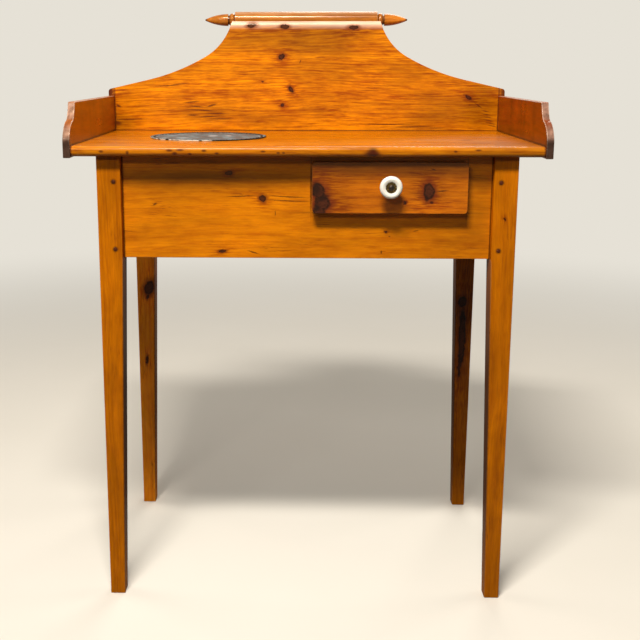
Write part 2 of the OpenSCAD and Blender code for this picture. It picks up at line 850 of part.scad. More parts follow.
// Cupped washer round the screw's head
module knob_washer() {
    color(brass) placed() on_knob_axis() translate([0, 0, seat]) difference() {
        union() {
            cylinder(d = washer_d, h = washer_t / 2);
            translate([0, 0, washer_t / 2])
                cylinder(d1 = washer_d, d2 = washer_d - washer_t * 2, h = washer_t / 2);
        }
        translate([0, 0, -past]) cylinder(d = screw_d + 2 * screw_play, h = washer_t + 2 * past);
    }
}

module knob_screw() {
    color(iron) placed() on_knob_axis() translate([0, 0, seat + washer_t]) {
        intersection() {
            translate([0, 0, screw_head_h - screw_dome_r]) sphere(screw_dome_r);
            cylinder(d = screw_head_d + past, h = screw_head_h + past);
        }
        shank = seat + washer_t + front_t + tongue_t + nut_t + past;
        translate([0, 0, -shank]) cylinder(d = screw_d, h = shank + past / 2);
    }
}

module knob_nut() {
    color(iron) placed() on_knob_axis() translate([0, 0, -front_t - tongue_t - nut_t]) difference() {
        translate([-nut_w / 2, -nut_w / 2, 0]) cube([nut_w, nut_w, nut_t]);
        translate([0, 0, -past]) cylinder(d = screw_d + 2 * peg_fit, h = nut_t + 2 * past);
    }
}

top_board();
basin_hole_cover();
cover_tacks();
left_gallery();
right_gallery();
gallery_nails();
backboard();
backboard_nails();
crest_rod();
crest_rod_nails();
front_left_leg();
front_right_leg();
back_left_leg();
back_right_leg();
front_apron();
back_apron();
left_apron();
right_apron();
joint_pegs();
glue_blocks();
left_runner();
right_runner();
left_guide();
right_guide();
left_kicker();
right_kicker();
drawer_front();
drawer_left_side();
drawer_right_side();
drawer_back();
drawer_bottom();
drawer_bottom_nails();
knob();
knob_washer();
knob_screw();
knob_nut();
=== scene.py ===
import math
import random

import bmesh
import bpy
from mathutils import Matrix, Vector, noise


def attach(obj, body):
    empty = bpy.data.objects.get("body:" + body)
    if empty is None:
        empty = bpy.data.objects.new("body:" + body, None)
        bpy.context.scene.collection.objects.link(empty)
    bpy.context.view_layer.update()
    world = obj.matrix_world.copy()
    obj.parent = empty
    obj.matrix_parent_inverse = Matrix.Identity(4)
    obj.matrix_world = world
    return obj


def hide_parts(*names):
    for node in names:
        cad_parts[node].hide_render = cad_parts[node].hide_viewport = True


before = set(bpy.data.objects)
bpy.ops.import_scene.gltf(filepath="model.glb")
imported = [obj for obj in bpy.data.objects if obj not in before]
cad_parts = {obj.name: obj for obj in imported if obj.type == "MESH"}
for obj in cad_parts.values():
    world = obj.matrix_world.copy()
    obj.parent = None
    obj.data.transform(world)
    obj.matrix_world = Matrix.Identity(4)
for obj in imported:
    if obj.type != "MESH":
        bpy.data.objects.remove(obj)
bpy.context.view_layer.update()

# Small country pine washstand: old shellacked pine with knots, a porcelain knob on the
# drawer, and a round zinc plate tacked over the basin hole.

MM = 0.001
SHARP = math.radians(38)    # an edge that turns more than this is an arris
SMOOTH = {"interpolation_type": "SMOOTHSTEP"}
KNOB_AXIS = (0.128, -0.186225, 0.689)    # where the knob's axis meets the drawer's face
COVER = (-0.167, 0.004075, 0.750)    # middle of the zinc plate, on the top
PEG_HEIGHTS = (694, 588)    # upper and lower pegs, in millimetres
chance = random.Random(7)


def linear(code):
    """An sRGB hex colour as linear red, green, blue and alpha."""
    values = [int(code[i:i + 2], 16) / 255 for i in (1, 3, 5)]
    return tuple(v / 12.92 if v <= 0.04045 else ((v + 0.055) / 1.055) ** 2.4 for v in values) + (1.0,)


def add(tree, kind, inputs=None, **settings):
    """Adds a shader node with its settings, and gives each input a value or a link."""
    made = tree.nodes.new("ShaderNode" + kind)
    for name, value in settings.items():
        setattr(made, name, value)
    for socket, value in (inputs or {}).items():
        if isinstance(value, bpy.types.NodeSocket):
            tree.links.new(value, made.inputs[socket])
        else:
            made.inputs[socket].default_value = value
    return made


def seen_ray(tree):
    """1 for what the camera, a reflection or a clear body shows, and 0 for light that bounces."""
    ray = add(tree, "LightPath").outputs
    seen = add(tree, "Math", {0: ray["Is Camera Ray"], 1: ray["Is Glossy Ray"]}, operation="MAXIMUM")
    either = {0: seen.outputs[0], 1: ray["Is Transmission Ray"]}
    return add(tree, "Math", either, operation="MAXIMUM").outputs[0]


def new_material(name):
    """An empty node material and its tree."""
    material = bpy.data.materials.new(name)
    material.use_nodes = True
    material.node_tree.nodes.clear()
    return material, material.node_tree


# Pine. x, y and z are counted 0, 1 and 2: along is the axis that the grain follows, across
# the axis over the board's face, and the third runs through the board. All lengths are in
# millimetres. The pith is the middle of the growth rings, as (across, through). Knots, marks
# and shades are (along, across, half length, half width, turn): a knot or mark may end with
# its place and half depth through the board, and a shade ends with how much lighter or
# darker it makes the wood.
def pine(name, along, across, pith, ring, light, dark, gloss, shellac, seed, knots=(), marks=(), shades=(),
         deep_tone="#7a3408", end_tone="#6b3416", wear_and_sheen_tone="#dc9450", mark_tone="#3a1404", painted_highlight_band=None,
         contrast=0.3, mottle=0.3, streaky=1.0, shine=0.2, knot_flow=7.0, ragged_by=6.0):
    """Pine with its rings, knots, torn grain, end grain, arrises paler with wear and painted sheen, and
    shellac.
    """
    material, tree = new_material(name)
    through = 3 - along - across
    place = add(tree, "TexCoord").outputs["Object"]
    axes = add(tree, "SeparateXYZ", {0: place})
    laid = add(tree, "CombineXYZ", {
        0: axes.outputs[along], 1: axes.outputs[across], 2: axes.outputs[through]})
    board = add(tree, "VectorMath", {0: laid.outputs[0], "Scale": 1000.0}, operation="SCALE").outputs[0]

    # The trunk wanders slowly, over 400 mm along the grain and 90 mm across it
    drift = 34.0
    slow = add(tree, "Mapping", {
        "Vector": board, "Location": (seed, seed * 0.7, 0.0), "Scale": (1 / 400, 1 / 90, 1 / 90)})
    wander = add(tree, "TexNoise", {
        "Vector": slow.outputs[0], "Scale": 1.0, "Detail": 2.5, "Roughness": 0.45})
    bent = add(tree, "VectorMath", {
        0: wander.outputs["Color"], 1: (0.0, drift, drift), 2: board}, operation="MULTIPLY_ADD").outputs[0]

    # Knots and marks have uneven outlines: distance 1 is the edge of the nearest one
    nearest = []
    for places, breadth, reach in ((knots, 2.0 + ragged_by, ragged_by), (marks, 2.4, 2.0)):
        ragged = add(tree, "TexNoise", {
            "Vector": board, "Scale": 1 / breadth, "Detail": 4.0, "Roughness": 0.62}).outputs["Color"]
        uneven = add(tree, "VectorMath", {
            0: ragged, 1: (reach, reach, 0.0), 2: board}, operation="MULTIPLY_ADD").outputs[0]
        closest = add(tree, "Value").outputs[0]
        closest.default_value = 50.0
        for x, y, long, wide, turn, *deep in places:
            depth, half_depth = deep or (0.0, 10000.0)
            own = add(tree, "Mapping", {
                "Vector": uneven, "Location": (x + reach / 2, y + reach / 2, depth),
                "Rotation": (0.0, 0.0, turn), "Scale": (long, wide, half_depth)}, vector_type="TEXTURE")
            away = add(tree, "VectorMath", {0: own.outputs[0]}, operation="LENGTH").outputs["Value"]
            closest = add(tree, "Math", {0: closest, 1: away}, operation="MINIMUM").outputs[0]
        nearest.append(closest)
    knot, mark = nearest
    squared = add(tree, "Math", {0: knot, 1: 2.0}, operation="POWER").outputs[0]
    falling = add(tree, "Math", {0: squared, 1: -0.4}, operation="MULTIPLY").outputs[0]
    near_knot = add(tree, "Math", {0: falling}, operation="EXPONENT").outputs[0]

    # Growth rings round the pith, bulging past the knots, and late wood darker than early
    from_pith = add(tree, "Mapping", {
        "Vector": bent, "Location": (0.0, -pith[0] - drift / 2, -pith[1] - drift / 2),
        "Scale": (0.0, 1.0, 1.0)})
    radius = add(tree, "VectorMath", {0: from_pith.outputs[0]}, operation="LENGTH").outputs["Value"]
    bulged = add(tree, "Math", {0: near_knot, 1: knot_flow, 2: radius}, operation="MULTIPLY_ADD").outputs[0]
    years = add(tree, "TexNoise", {"W": bulged, "Scale": 1 / 22, "Detail": 1.0}, noise_dimensions="1D")
    uneven_years = {0: years.outputs[0], 1: ring * 4.0, 2: bulged}
    counted = add(tree, "Math", uneven_years, operation="MULTIPLY_ADD").outputs[0]
    counted = add(tree, "Math", {0: counted, 1: 1 / ring}, operation="MULTIPLY").outputs[0]
    season = add(tree, "Math", {0: counted}, operation="FRACT").outputs[0]
    ramp = add(tree, "ValToRGB", {0: season})
    ramp.color_ramp.elements[0].color = (0.25, 0.25, 0.25, 1.0)
    ramp.color_ramp.elements[1].color = (0.25, 0.25, 0.25, 1.0)
    for position, value in ((0.22, 0.0), (0.6, 0.35), (0.88, 1.0)):
        ramp.color_ramp.elements.new(position).color = (value, value, value, 1.0)
    late = ramp.outputs[0]

    # Noise drawn out along the grain: threads 2.6 mm wide, short streaks 1.8 mm wide, fibres
    # 0.6 mm wide, mottling of 34 by 10 mm, soft patches of 150 by 45 mm, worn places of 90 by
    # 28 mm, and the plane's waves of 55 by 26 mm
    drawn = {}
    for kind, long, wide, detail, source in (
            ("threads", 130.0, 2.6, 3.0, bent), ("streaks", 26.0, 1.8, 3.0, bent),
            ("fibres", 22.0, 0.6, 2.0, board), ("mottling", 34.0, 10.0, 3.0, bent),
            ("patches", 150.0, 45.0, 3.0, board), ("worn", 90.0, 28.0, 1.0, board),
            ("waves", 55.0, 26.0, 1.0, board)):
        stretched = add(tree, "Mapping", {
            "Vector": source, "Location": (seed, seed * 3.1, 0.0),
            "Scale": (1 / long, 1 / wide, 1 / wide)}).outputs[0]
        drawn[kind] = add(tree, "TexNoise", {
            "Vector": stretched, "Scale": 1.0, "Detail": detail, "Roughness": 0.6}).outputs[0]

    # How dark the wood is, from rings, threads and streaks
    tone = add(tree, "Math", {0: late, 1: contrast}, operation="MULTIPLY").outputs[0]
    around = add(tree, "Math", {0: near_knot, 1: 0.3}, operation="POWER").outputs[0]
    flame = add(tree, "MapRange", {0: drawn["streaks"], 1: 0.42, 2: 0.6, 3: 0.0, 4: 0.9}).outputs[0]
    tone = add(tree, "Math", {0: around, 1: flame, 2: tone}, operation="MULTIPLY_ADD").outputs[0]
    for kind, low, high, amount in (
            ("threads", 0.34, 0.7, 0.5 * streaky), ("streaks", 0.4, 0.7, 0.4 * streaky),
            ("mottling", 0.42, 0.66, mottle)):
        part = add(tree, "MapRange", {0: drawn[kind], 1: low, 2: high, 3: 0.0, 4: amount}).outputs[0]
        tone = add(tree, "Math", {0: tone, 1: part}, operation="ADD", use_clamp=True).outputs[0]
    wood = add(tree, "Mix", {0: tone, 6: linear(light), 7: linear(dark)}, data_type="RGBA").outputs[2]

    # Single fibres, soft patches, and the shades listed for each board, among them painted shadows
    level = add(tree, "MapRange", {0: drawn["fibres"], 1: 0.3, 2: 0.7, 3: 0.9, 4: 1.08}).outputs[0]
    patchy = add(tree, "MapRange", {0: drawn["patches"], 1: 0.3, 2: 0.7, 3: 1.16, 4: 0.76}).outputs[0]
    level = add(tree, "Math", {0: level, 1: patchy}, operation="MULTIPLY").outputs[0]
    for x, y, long, wide, turn, amount in shades:
        own = add(tree, "Mapping", {
            "Vector": bent, "Location": (x, y + drift / 2, 0.0), "Rotation": (0.0, 0.0, turn),
            "Scale": (long, wide, 10000.0)}, vector_type="TEXTURE")
        away = add(tree, "VectorMath", {0: own.outputs[0]}, operation="LENGTH").outputs["Value"]
        over = add(tree, "MapRange", {0: away, 1: 1.3, 2: 0.2, 3: 1.0, 4: 1.0 + amount}, **SMOOTH).outputs[0]
        level = add(tree, "Math", {0: level, 1: over}, operation="MULTIPLY").outputs[0]
    wood = add(tree, "VectorMath", {0: wood, "Scale": level}, operation="SCALE").outputs[0]

    # Short dark strokes where the plane tore the grain, in a few places only
    torn_here = add(tree, "MapRange", {0: drawn["worn"], 1: 0.55, 2: 0.7}, **SMOOTH).outputs[0]
    strokes = add(tree, "MapRange", {
        0: drawn["streaks"], 1: 0.54, 2: 0.66, 3: 0.0, 4: 0.7}, **SMOOTH).outputs[0]
    torn = add(tree, "Math", {0: torn_here, 1: strokes}, operation="MULTIPLY").outputs[0]
    wood = add(tree, "Mix", {0: torn, 6: wood, 7: linear(deep_tone)}, data_type="RGBA").outputs[2]

    # A painted highlight: a band made pale, growing from one height to another
    if painted_highlight_band:
        start, stop, amount = painted_highlight_band
        reach = add(tree, "SeparateXYZ", {0: board}).outputs[1]
        band = add(tree, "MapRange", {0: reach, 1: start, 2: stop, 3: 0.0, 4: amount}, **SMOOTH).outputs[0]
        broken = add(tree, "MapRange", {0: drawn["patches"], 1: 0.35, 2: 0.65, 3: 1.1, 4: 0.6}).outputs[0]
        band = add(tree, "Math", {0: band, 1: broken}, operation="MULTIPLY").outputs[0]
        wood = add(tree, "Mix", {0: band, 6: wood, 7: linear(wear_and_sheen_tone)}, data_type="RGBA").outputs[2]

    # Knots: a stained halo, and a dark core with finer rings
    halo = add(tree, "MapRange", {0: knot, 1: 2.1, 2: 0.95, 3: 0.0, 4: 0.75}, **SMOOTH).outputs[0]
    wood = add(tree, "Mix", {0: halo, 6: wood, 7: linear(deep_tone)}, data_type="RGBA").outputs[2]
    knot_rings = add(tree, "Math", {0: knot, 1: 14.0}, operation="MULTIPLY").outputs[0]
    knot_rings = add(tree, "Math", {0: knot_rings}, operation="SINE").outputs[0]
    heart = add(tree, "MapRange", {0: knot_rings, 1: -1.0, 2: 1.0}).outputs[0]
    inward = add(tree, "MapRange", {0: knot, 1: 0.85, 2: 0.3, 3: 0.0, 4: 0.8}).outputs[0]
    heart = add(tree, "Math", {0: heart, 1: 0.35, 2: inward}, operation="MULTIPLY_ADD").outputs[0]
    blotch = add(tree, "TexNoise", {
        "Vector": board, "Scale": 1 / 3.5, "Detail": 4.0, "Roughness": 0.7}).outputs[0]
    blotch = add(tree, "MapRange", {0: blotch, 1: 0.35, 2: 0.65, 3: -0.45, 4: 0.45}).outputs[0]
    heart = add(tree, "Math", {0: heart, 1: blotch}, operation="ADD", use_clamp=True).outputs[0]
    knot_wood = add(tree, "Mix", {
        0: heart, 6: linear("#160502"), 7: linear("#472012")}, data_type="RGBA").outputs[2]
    core = add(tree, "MapRange", {0: knot, 1: 1.12, 2: 0.8, 3: 0.0, 4: 0.95}, **SMOOTH).outputs[0]
    wood = add(tree, "Mix", {0: core, 6: wood, 7: knot_wood}, data_type="RGBA").outputs[2]

    # End grain drinks more shellac and turns dark; arrises are paler with wear and painted sheen; then marks,
    # which are stains and in places painted crevice shade
    normal = add(tree, "NewGeometry").outputs["Normal"]
    facing = add(tree, "SeparateXYZ", {0: normal})
    ends = add(tree, "Math", {0: facing.outputs[along]}, operation="ABSOLUTE").outputs[0]
    end_part = add(tree, "MapRange", {0: ends, 1: 0.4, 2: 0.85, 3: 0.0, 4: 0.85}, **SMOOTH).outputs[0]
    thirst = add(tree, "MapRange", {0: drawn["mottling"], 1: 0.36, 2: 0.64, 3: 1.4, 4: 0.6}).outputs[0]
    end_level = add(tree, "Math", {0: level, 1: thirst}, operation="MULTIPLY").outputs[0]
    end_wood = add(tree, "VectorMath", {
        0: linear(end_tone)[:3], "Scale": end_level}, operation="SCALE").outputs[0]
    wood = add(tree, "Mix", {0: end_part, 6: wood, 7: end_wood}, data_type="RGBA").outputs[2]
    wear_and_sheen = add(tree, "Attribute", attribute_name="wear_and_sheen").outputs["Fac"]
    unevenly = add(tree, "MapRange", {0: drawn["streaks"], 1: 0.35, 2: 0.65, 3: 0.1, 4: 0.55}).outputs[0]
    wear_and_sheen = add(tree, "Math", {0: wear_and_sheen, 1: unevenly}, operation="MULTIPLY").outputs[0]
    wood = add(tree, "Mix", {0: wear_and_sheen, 6: wood, 7: linear(wear_and_sheen_tone)}, data_type="RGBA").outputs[2]
    stain_and_shade = add(tree, "MapRange", {0: mark, 1: 1.5, 2: 0.4, 3: 0.0, 4: 0.85}, **SMOOTH).outputs[0]
    wood = add(tree, "Mix", {0: stain_and_shade, 6: wood, 7: linear(mark_tone)}, data_type="RGBA").outputs[2]

    # Late wood stands slightly proud, the plane left shallow waves, and knots have sunk
    ridge = add(tree, "Math", {0: late, 1: 0.3, 2: drawn["threads"]}, operation="MULTIPLY_ADD").outputs[0]
    relief = add(tree, "Math", {0: drawn["waves"], 1: 3.0, 2: ridge}, operation="MULTIPLY_ADD").outputs[0]
    sunk = add(tree, "Math", {0: core, 1: -0.6, 2: relief}, operation="MULTIPLY_ADD").outputs[0]
    surface = add(tree, "Bump", {"Height": sunk, "Strength": 0.55, "Distance": 0.00025}).outputs[0]
    sheen = add(tree, "MapRange", {
        0: drawn["patches"], 1: 0.3, 2: 0.7, 3: gloss - 0.05, 4: gloss + 0.1}).outputs[0]

    # Amber shellac tints what it reflects
    shader = add(tree, "BsdfPrincipled", {
        "Base Color": wood, "Roughness": sheen, "IOR": 1.5, "Specular IOR Level": shine,
        "Specular Tint": linear("#ffcf94"), "Coat Weight": shellac, "Coat Roughness": 0.17,
        "Coat Tint": linear("#fff0dc"), "Normal": surface})
    add(tree, "OutputMaterial", {0: shader.outputs[0]})
    return material


# Shellacked white pine of the top: the most handled board, warm and pale orange, with dark lines
# of grime and painted crevice shade at the back and at both galleries, and bruises along the nosing
top_pine = pine(
    "shellacked_pine_top", 0, 1, (-40.0, 120.0), ring=11.0, light="#d58208", dark="#a05000",
    wear_and_sheen_tone="#e6aa6c", gloss=0.25, shellac=0.16, streaky=0.8, shine=0.1, mark_tone="#48130a", seed=3.0,
    knots=[(262, -60, 9, 4, 0.3)],
    shades=[(60, 190, 340, 60, 0, -0.1), (-60, -120, 260, 60, 0, 0.1), (330, -150, 140, 60, 0, -0.18),
            (100, -201, 9, 6, 0, -0.75)],
    marks=[
        (0, 177, 2000, 2.2, 0), (-360, 0, 3, 2000, 0), (360, 0, 3, 2000, 0),
        (-312, -199, 3.4, 6, 0, 742, 2), (-272, -199, 2.3, 6, 0, 740.5, 2.9),
        (-208, -199, 4.4, 6, 0, 743.8, 1.9), (-200, -199, 3.6, 6, 0, 739.4, 2.3),
        (-192, -199, 5.5, 6, 0, 744.6, 1.7), (-177, -199, 2.9, 6, 0, 738.6, 1.7),
        (-155.5, -199, 3.6, 6, 0, 743.6, 2), (-136, -199, 2.9, 6, 0, 739.6, 1.7),
        (-66, -199, 3.6, 6, 0, 742.6, 1.6), (-43, -199, 2.6, 6, 0, 740.4, 1.7),
        (-35, -199, 2.3, 6, 0, 740.6, 1.6), (99, -199, 12, 6, 0, 739.4, 5.2),
        (100, -199, 5.5, 6, 0, 741, 4.6),
        (224, -199, 2.6, 6, 0, 743, 1.6), (258, -199, 4.7, 7, 0, 745, 1.3)])

# Backboard, seen full face: golden, with dark pin knots, a painted highlight on the crest's rounded nose,
# and dark lines of grime and painted crevice shade along its lower edge and at the galleries
back_pine = pine(
    "shellacked_pine_backboard", 0, 2, (690.0, 90.0), ring=12.0, light="#f09604", dark="#a04a00",
    contrast=0.28, wear_and_sheen_tone="#f9e0ca", gloss=0.3, shellac=0.2, painted_highlight_band=(934.0, 948.0, 0.85),
    mark_tone="#55200a", seed=11.0,
    knots=[
        (-45, 886.7, 6.6, 5, 0.6), (-27.5, 826.6, 6.6, 3.8, -1), (-43.4, 797.4, 3.4, 3, 0),
        (-80.5, 841.1, 2, 1.4, 0), (-100.4, 943, 8.5, 4.2, 0.1), (-39.6, 940.5, 8.5, 4.2, 0),
        (87.4, 939, 9, 3.8, 0), (303, 812, 7, 3, -0.6),
        (-372, 822, 5, 11, 0)],
    shades=[
        (-215, 850, 130, 50, 0.1, 0.16), (-270, 800, 90, 40, 0, 0.06), (10, 922, 170, 34, 0, -0.36),
        (60, 880, 34, 70, 0, -0.12), (290, 785, 110, 44, 0, -0.24), (330, 796, 44, 50, -0.4, -0.3),
        (0, 870, 40, 90, 0, -0.12),
        (-356, 770, 40, 22, 0, -0.4), (-190, 785, 60, 18, 0, -0.28)],
    marks=[
        (0, 750, 2000, 1.6, 0), (-359.5, 780, 2.6, 60, 0), (359.5, 780, 1.8, 60, 0),
        (-369, 822, 9, 17, 0), (369, 820, 6, 16, 0),
        (-10.5, 877.7, 1.1, 3.4, -0.4), (-330, 771, 34, 1, 0.03), (-356, 764, 9, 4, -0.2),
        (-352, 796, 5, 2.2, -0.4), (-196, 788, 26, 1.2, -0.05), (-168, 782, 17, 1.2, 0),
        (-206, 795, 12, 1.2, -0.1), (-185, 776, 22, 1.2, 0.05), (-214, 803, 14, 1.2, 0.1),
        (-176, 797, 9, 1.6, 0.3), (-160, 772, 24, 1.2, 0), (-212, 779, 10, 1.4, 0),
        (-262, 833, 24, 0.8, 0.04),
        (-238, 836, 16, 0.9, 0.1), (150, 762, 46, 1.1, 0), (205, 757.5, 34, 1.2, 0.02),
        (244, 755.5, 18, 1, 0), (322, 797, 8, 1.2, -0.6), (336, 786.5, 7, 0.9, -0.2),
        (336, 781, 8, 0.8, -0.15), (340, 775.5, 8, 0.9, -0.15), (341, 770, 9, 0.9, -0.15),
        (345, 764.6, 9, 0.9, -0.15), (349, 759.4, 8, 0.9, -0.15)])

# Galleries: redder wood, painted darker as the shade on their inner faces; the front ends are pinkish end
# grain, the pink partly dust and partly painted sheen, black with dirt at the foot; dark lines of grime
# and painted crevice shade along the joints
gallery_pines = {}
for side, light, dark, streak, seed in (
        ("left", "#a45804", "#783801", -0.12, 23.0), ("right", "#953f02", "#5c2200", -0.3, 27.0)):
    gallery_pines[side] = pine(
        "shellacked_pine_" + side + "_gallery", 1, 2, (700.0, 60.0), ring=8.0, light=light, dark=dark,
        end_tone="#947465", wear_and_sheen_tone="#d8c4b4", mark_tone="#1c0b06", gloss=0.3, shellac=0.2,
        streaky=0.5, seed=seed,
        shades=[
            (60, 790, 9, 60, 0.1, streak), (-20, 780, 5, 60, -0.1, streak), (-45, 780, 8, 60, 0.1, streak),
            (-110, 785, 14, 50, 0, streak), (20, 775, 20, 60, 0, 0.25), (120, 790, 36, 40, 0, 0.2),
            (0, 752, 300, 8, 0, -0.3)],
        marks=[(-203, 744, 12, 20, 0), (0, 751, 2000, 2, 0), (176, 780, 2, 80, 0)])

# Turned crest rod and finials, the rod's top painted paler as a highlight
turned_pine = pine(
    "shellacked_pine_turning", 0, 2, (930.0, 200.0), ring=7.0, light="#cf8228", dark="#9a5510",
    end_tone="#7c3d14", wear_and_sheen_tone="#e6c8ac", gloss=0.24, shellac=0.35, seed=31.0,
    shades=[(168, 952, 30, 60, 0, 0.6), (0, 952, 150, 60, 0, -0.2)],
    marks=[(-187.5, 952, 3.4, 30, 0), (187.5, 952, 3.4, 30, 0),
           (-144, 952, 1.2, 30, 0), (144, 952, 1.2, 30, 0)])

# Legs: straight vertical grain, dark round each peg, with painted shade down the inner faces. The left one
# at the back has paler wood as painted light, and the right one has a long streak of black resin below a
# knot.
PEG_STAINS = [(z, x, 4.2, 4.2, 0.0) for z in PEG_HEIGHTS for x in (-298.0, 298.0)]
# Painted shade down each leg's inner face
INNER_PAINTED_SHADE = [(286.0, side * 292.6, 290.0, 2.6, side * -0.0227) for side in (-1.0, 1.0)]
leg_pines = {}
for corner, light, dark, knots in (
        ("front", "#d47a02", "#9e4b00", [(637.6, 305, 2.4, 1.4, 0)]),
        ("back_left", "#ff9e1e", "#dc690e", [
            (448, -301, 15, 9, 0.3), (430, -304, 5, 3, 0.4), (302, -309, 9, 2.2, 0.1)]),
        ("back_right", "#d07602", "#9c4a00", [
            (424, 304, 12, 8, 0.2), (352, 306, 60, 7, 0), (292, 303, 22, 3, 0)])):
    leg_pines[corner] = pine(
        "shellacked_pine_leg_" + corner, 2, 0, (120.0, 70.0), ring=9.0, light=light, dark=dark,
        contrast=0.25, gloss=0.32, shellac=0.12, shine=0.0, streaky=0.55, mottle=0.22, ragged_by=8.0,
        seed=41.0, knot_flow=5.0, knots=knots, marks=PEG_STAINS + INNER_PAINTED_SHADE, mark_tone="#2c1006")

# Aprons: wide flat-sawn boards with a few knots. The front one has a painted shadow below the top and
# beside the drawer, painted shade at each leg, and a dark line round the drawer of grime and painted shade
apron_pine = pine(
    "shellacked_pine_apron", 0, 2, (500.0, 60.0), ring=13.0, light="#e68804", dark="#b05500",
    contrast=0.28, gloss=0.3, shellac=0.1, streaky=0.5, seed=53.0,
    knots=[
        (-120, 706.4, 6, 3.4, 0.1), (-67.8, 667.4, 5.4, 5.4, 0.5), (-130.6, 583.6, 6, 2.2, 0.1),
        (124.6, 615.3, 2.6, 1.6, -0.3)],
    shades=[
        (0, 738, 400, 46, 0, -0.3), (-150, 691, 190, 16, 0, -0.55), (272, 689, 40, 18, 0, -0.42),
        (270, 660, 30, 60, 0, -0.16), (-200, 690, 120, 34, 0, -0.1), (-60, 600, 90, 30, 0, 0.1),
        (250, 625, 60, 40, 0, -0.1)],
    marks=[
        (-82.7, 582.1, 9, 0.9, -0.3), (-48.2, 644.1, 0.6, 4, 0), (130.1, 608.3, 1.4, 0.9, 0),
        (171, 617.2, 4, 0.9, 0.2), (118, 583, 1.2, 2.6, 0), (-30, 664, 34, 0.8, -0.04),
        (-28, 670, 26, 0.8, -0.05), (-100, 671, 22, 0.8, 0.05), (-236, 658, 3, 1.4, 0.4),
        (-287, 650, 2.4, 2000, 0), (287, 650, 2, 2000, 0),
        (128, 645.6, 126, 1.9, 0), (248.6, 685, 1.7, 42, 0), (7.4, 685, 1.7, 42, 0)])
back_apron_pine = pine(
    "shellacked_pine_back_apron", 0, 2, (480.0, 60.0), ring=12.0, light="#de8206", dark="#a85502",
    gloss=0.34, shellac=0.08, streaky=0.55, seed=57.0,
    knots=[(96, 640, 7, 4.4, 0.2), (-190, 690, 4, 3, 0), (212, 604, 3, 2.4, 0)])
side_apron_pine = pine(
    "shellacked_pine_side_apron", 1, 2, (520.0, 120.0), ring=11.0, light="#de8006", dark="#a85502",
    gloss=0.32, shellac=0.1, streaky=0.55, seed=61.0, knots=[(40, 640, 7, 4.4, 0.3), (-70, 690, 3.6, 2.8, 0)])

# Drawer front: the reddest board, with two big knots that bleed resin, and a painted shadow along its top
# edge
drawer_pine = pine(
    "shellacked_pine_drawer_front", 0, 2, (600.0, -60.0), ring=10.0, light="#dd7c0a", dark="#994300",
    deep_tone="#641f0c", end_tone="#74371a", wear_and_sheen_tone="#d58a4a", mark_tone="#1c0806", gloss=0.28,
    shellac=0.18, seed=71.0, knot_flow=9.0, streaky=0.5, mottle=0.36, ragged_by=10.0,
    knots=[
        (19, 681, 11, 13, 0.2), (25, 662, 13, 12, 0), (20, 650, 10, 7, 0),
        (187, 681, 9, 13, 0.1), (151.5, 663.1, 2.4, 1.8, 0)],
    shades=[(187, 682, 40, 22, 0, -0.25), (40, 670, 34, 30, 0, -0.25), (128, 730, 300, 34, 0, -0.75)],
    marks=[(193.4, 714.9, 4, 0.9, -0.3), (208, 682, 8, 0.9, 0.1), (192, 664, 3, 2, 0),
           (15, 685, 7, 11, 0.2), (26, 671, 9, 5, 0.5), (16, 655, 6, 5, 0), (184, 670, 3, 5, 0.2)])

# Inner pieces: the same pine, never finished, pale brown with age and matt
raw_pine = pine(
    "unfinished_pine", 1, 0, (60.0, 560.0), ring=7.0, light="#cfa468", dark="#a97a42", contrast=0.4,
    deep_tone="#7d5228", end_tone="#94683a", wear_and_sheen_tone="#c9a274", gloss=0.72, shellac=0.0, seed=83.0,
    knots=[(60, 120, 7, 5, 0.2)])
raw_cross_pine = pine(
    "unfinished_pine_crosswise", 0, 1, (20.0, 520.0), ring=7.0, light="#cda266", dark="#a5753d", contrast=0.4,
    deep_tone="#7d5228", end_tone="#94683a", wear_and_sheen_tone="#c9a274", gloss=0.72, shellac=0.0, seed=91.0)

# Whittled pegs: end grain, red-brown from shellac
peg_pine = pine(
    "shellacked_peg_end_grain", 1, 0, (0.0, 600.0), ring=1.4, light="#6a2c0c", dark="#3c1408", contrast=0.6,
    end_tone="#54220c", gloss=0.42, shellac=0.2, seed=5.0)

# Glazed porcelain: white with a warm cast, a wet gloss, and brown dirt in the dish round the washer
porcelain, tree = new_material("glazed_porcelain")
place = add(tree, "TexCoord").outputs["Object"]
from_axis = add(tree, "Mapping", {
    "Vector": place, "Location": (-KNOB_AXIS[0], 0.0, -KNOB_AXIS[2]), "Scale": (1.0, 0.0, 1.0)})
off_axis = add(tree, "VectorMath", {0: from_axis.outputs[0]}, operation="LENGTH").outputs["Value"]
dirt_shape = add(tree, "TexNoise", {"Vector": place, "Scale": 420.0, "Detail": 3.0}).outputs[0]
dirt_edge = add(tree, "Math", {0: dirt_shape, 1: 0.003, 2: off_axis}, operation="MULTIPLY_ADD").outputs[0]
dirt = add(tree, "MapRange", {0: dirt_edge, 1: 0.0106, 2: 0.0084, 3: 0.0, 4: 0.6}, **SMOOTH).outputs[0]
glaze_cast = add(tree, "TexNoise", {"Vector": place, "Scale": 60.0, "Detail": 2.0}).outputs[0]
glaze = add(tree, "Mix", {
    0: glaze_cast, 6: linear("#f6f4ea"), 7: linear("#eeeadb")}, data_type="RGBA").outputs[2]
glaze = add(tree, "Mix", {0: dirt, 6: glaze, 7: linear("#6f5a3c")}, data_type="RGBA").outputs[2]
shader = add(tree, "BsdfPrincipled", {
    "Base Color": glaze, "Roughness": 0.12, "IOR": 1.52, "Coat Weight": 0.6, "Coat Roughness": 0.04,
    "Subsurface Weight": 0.05, "Subsurface Scale": 0.002})
add(tree, "OutputMaterial", {0: shader.outputs[0]})

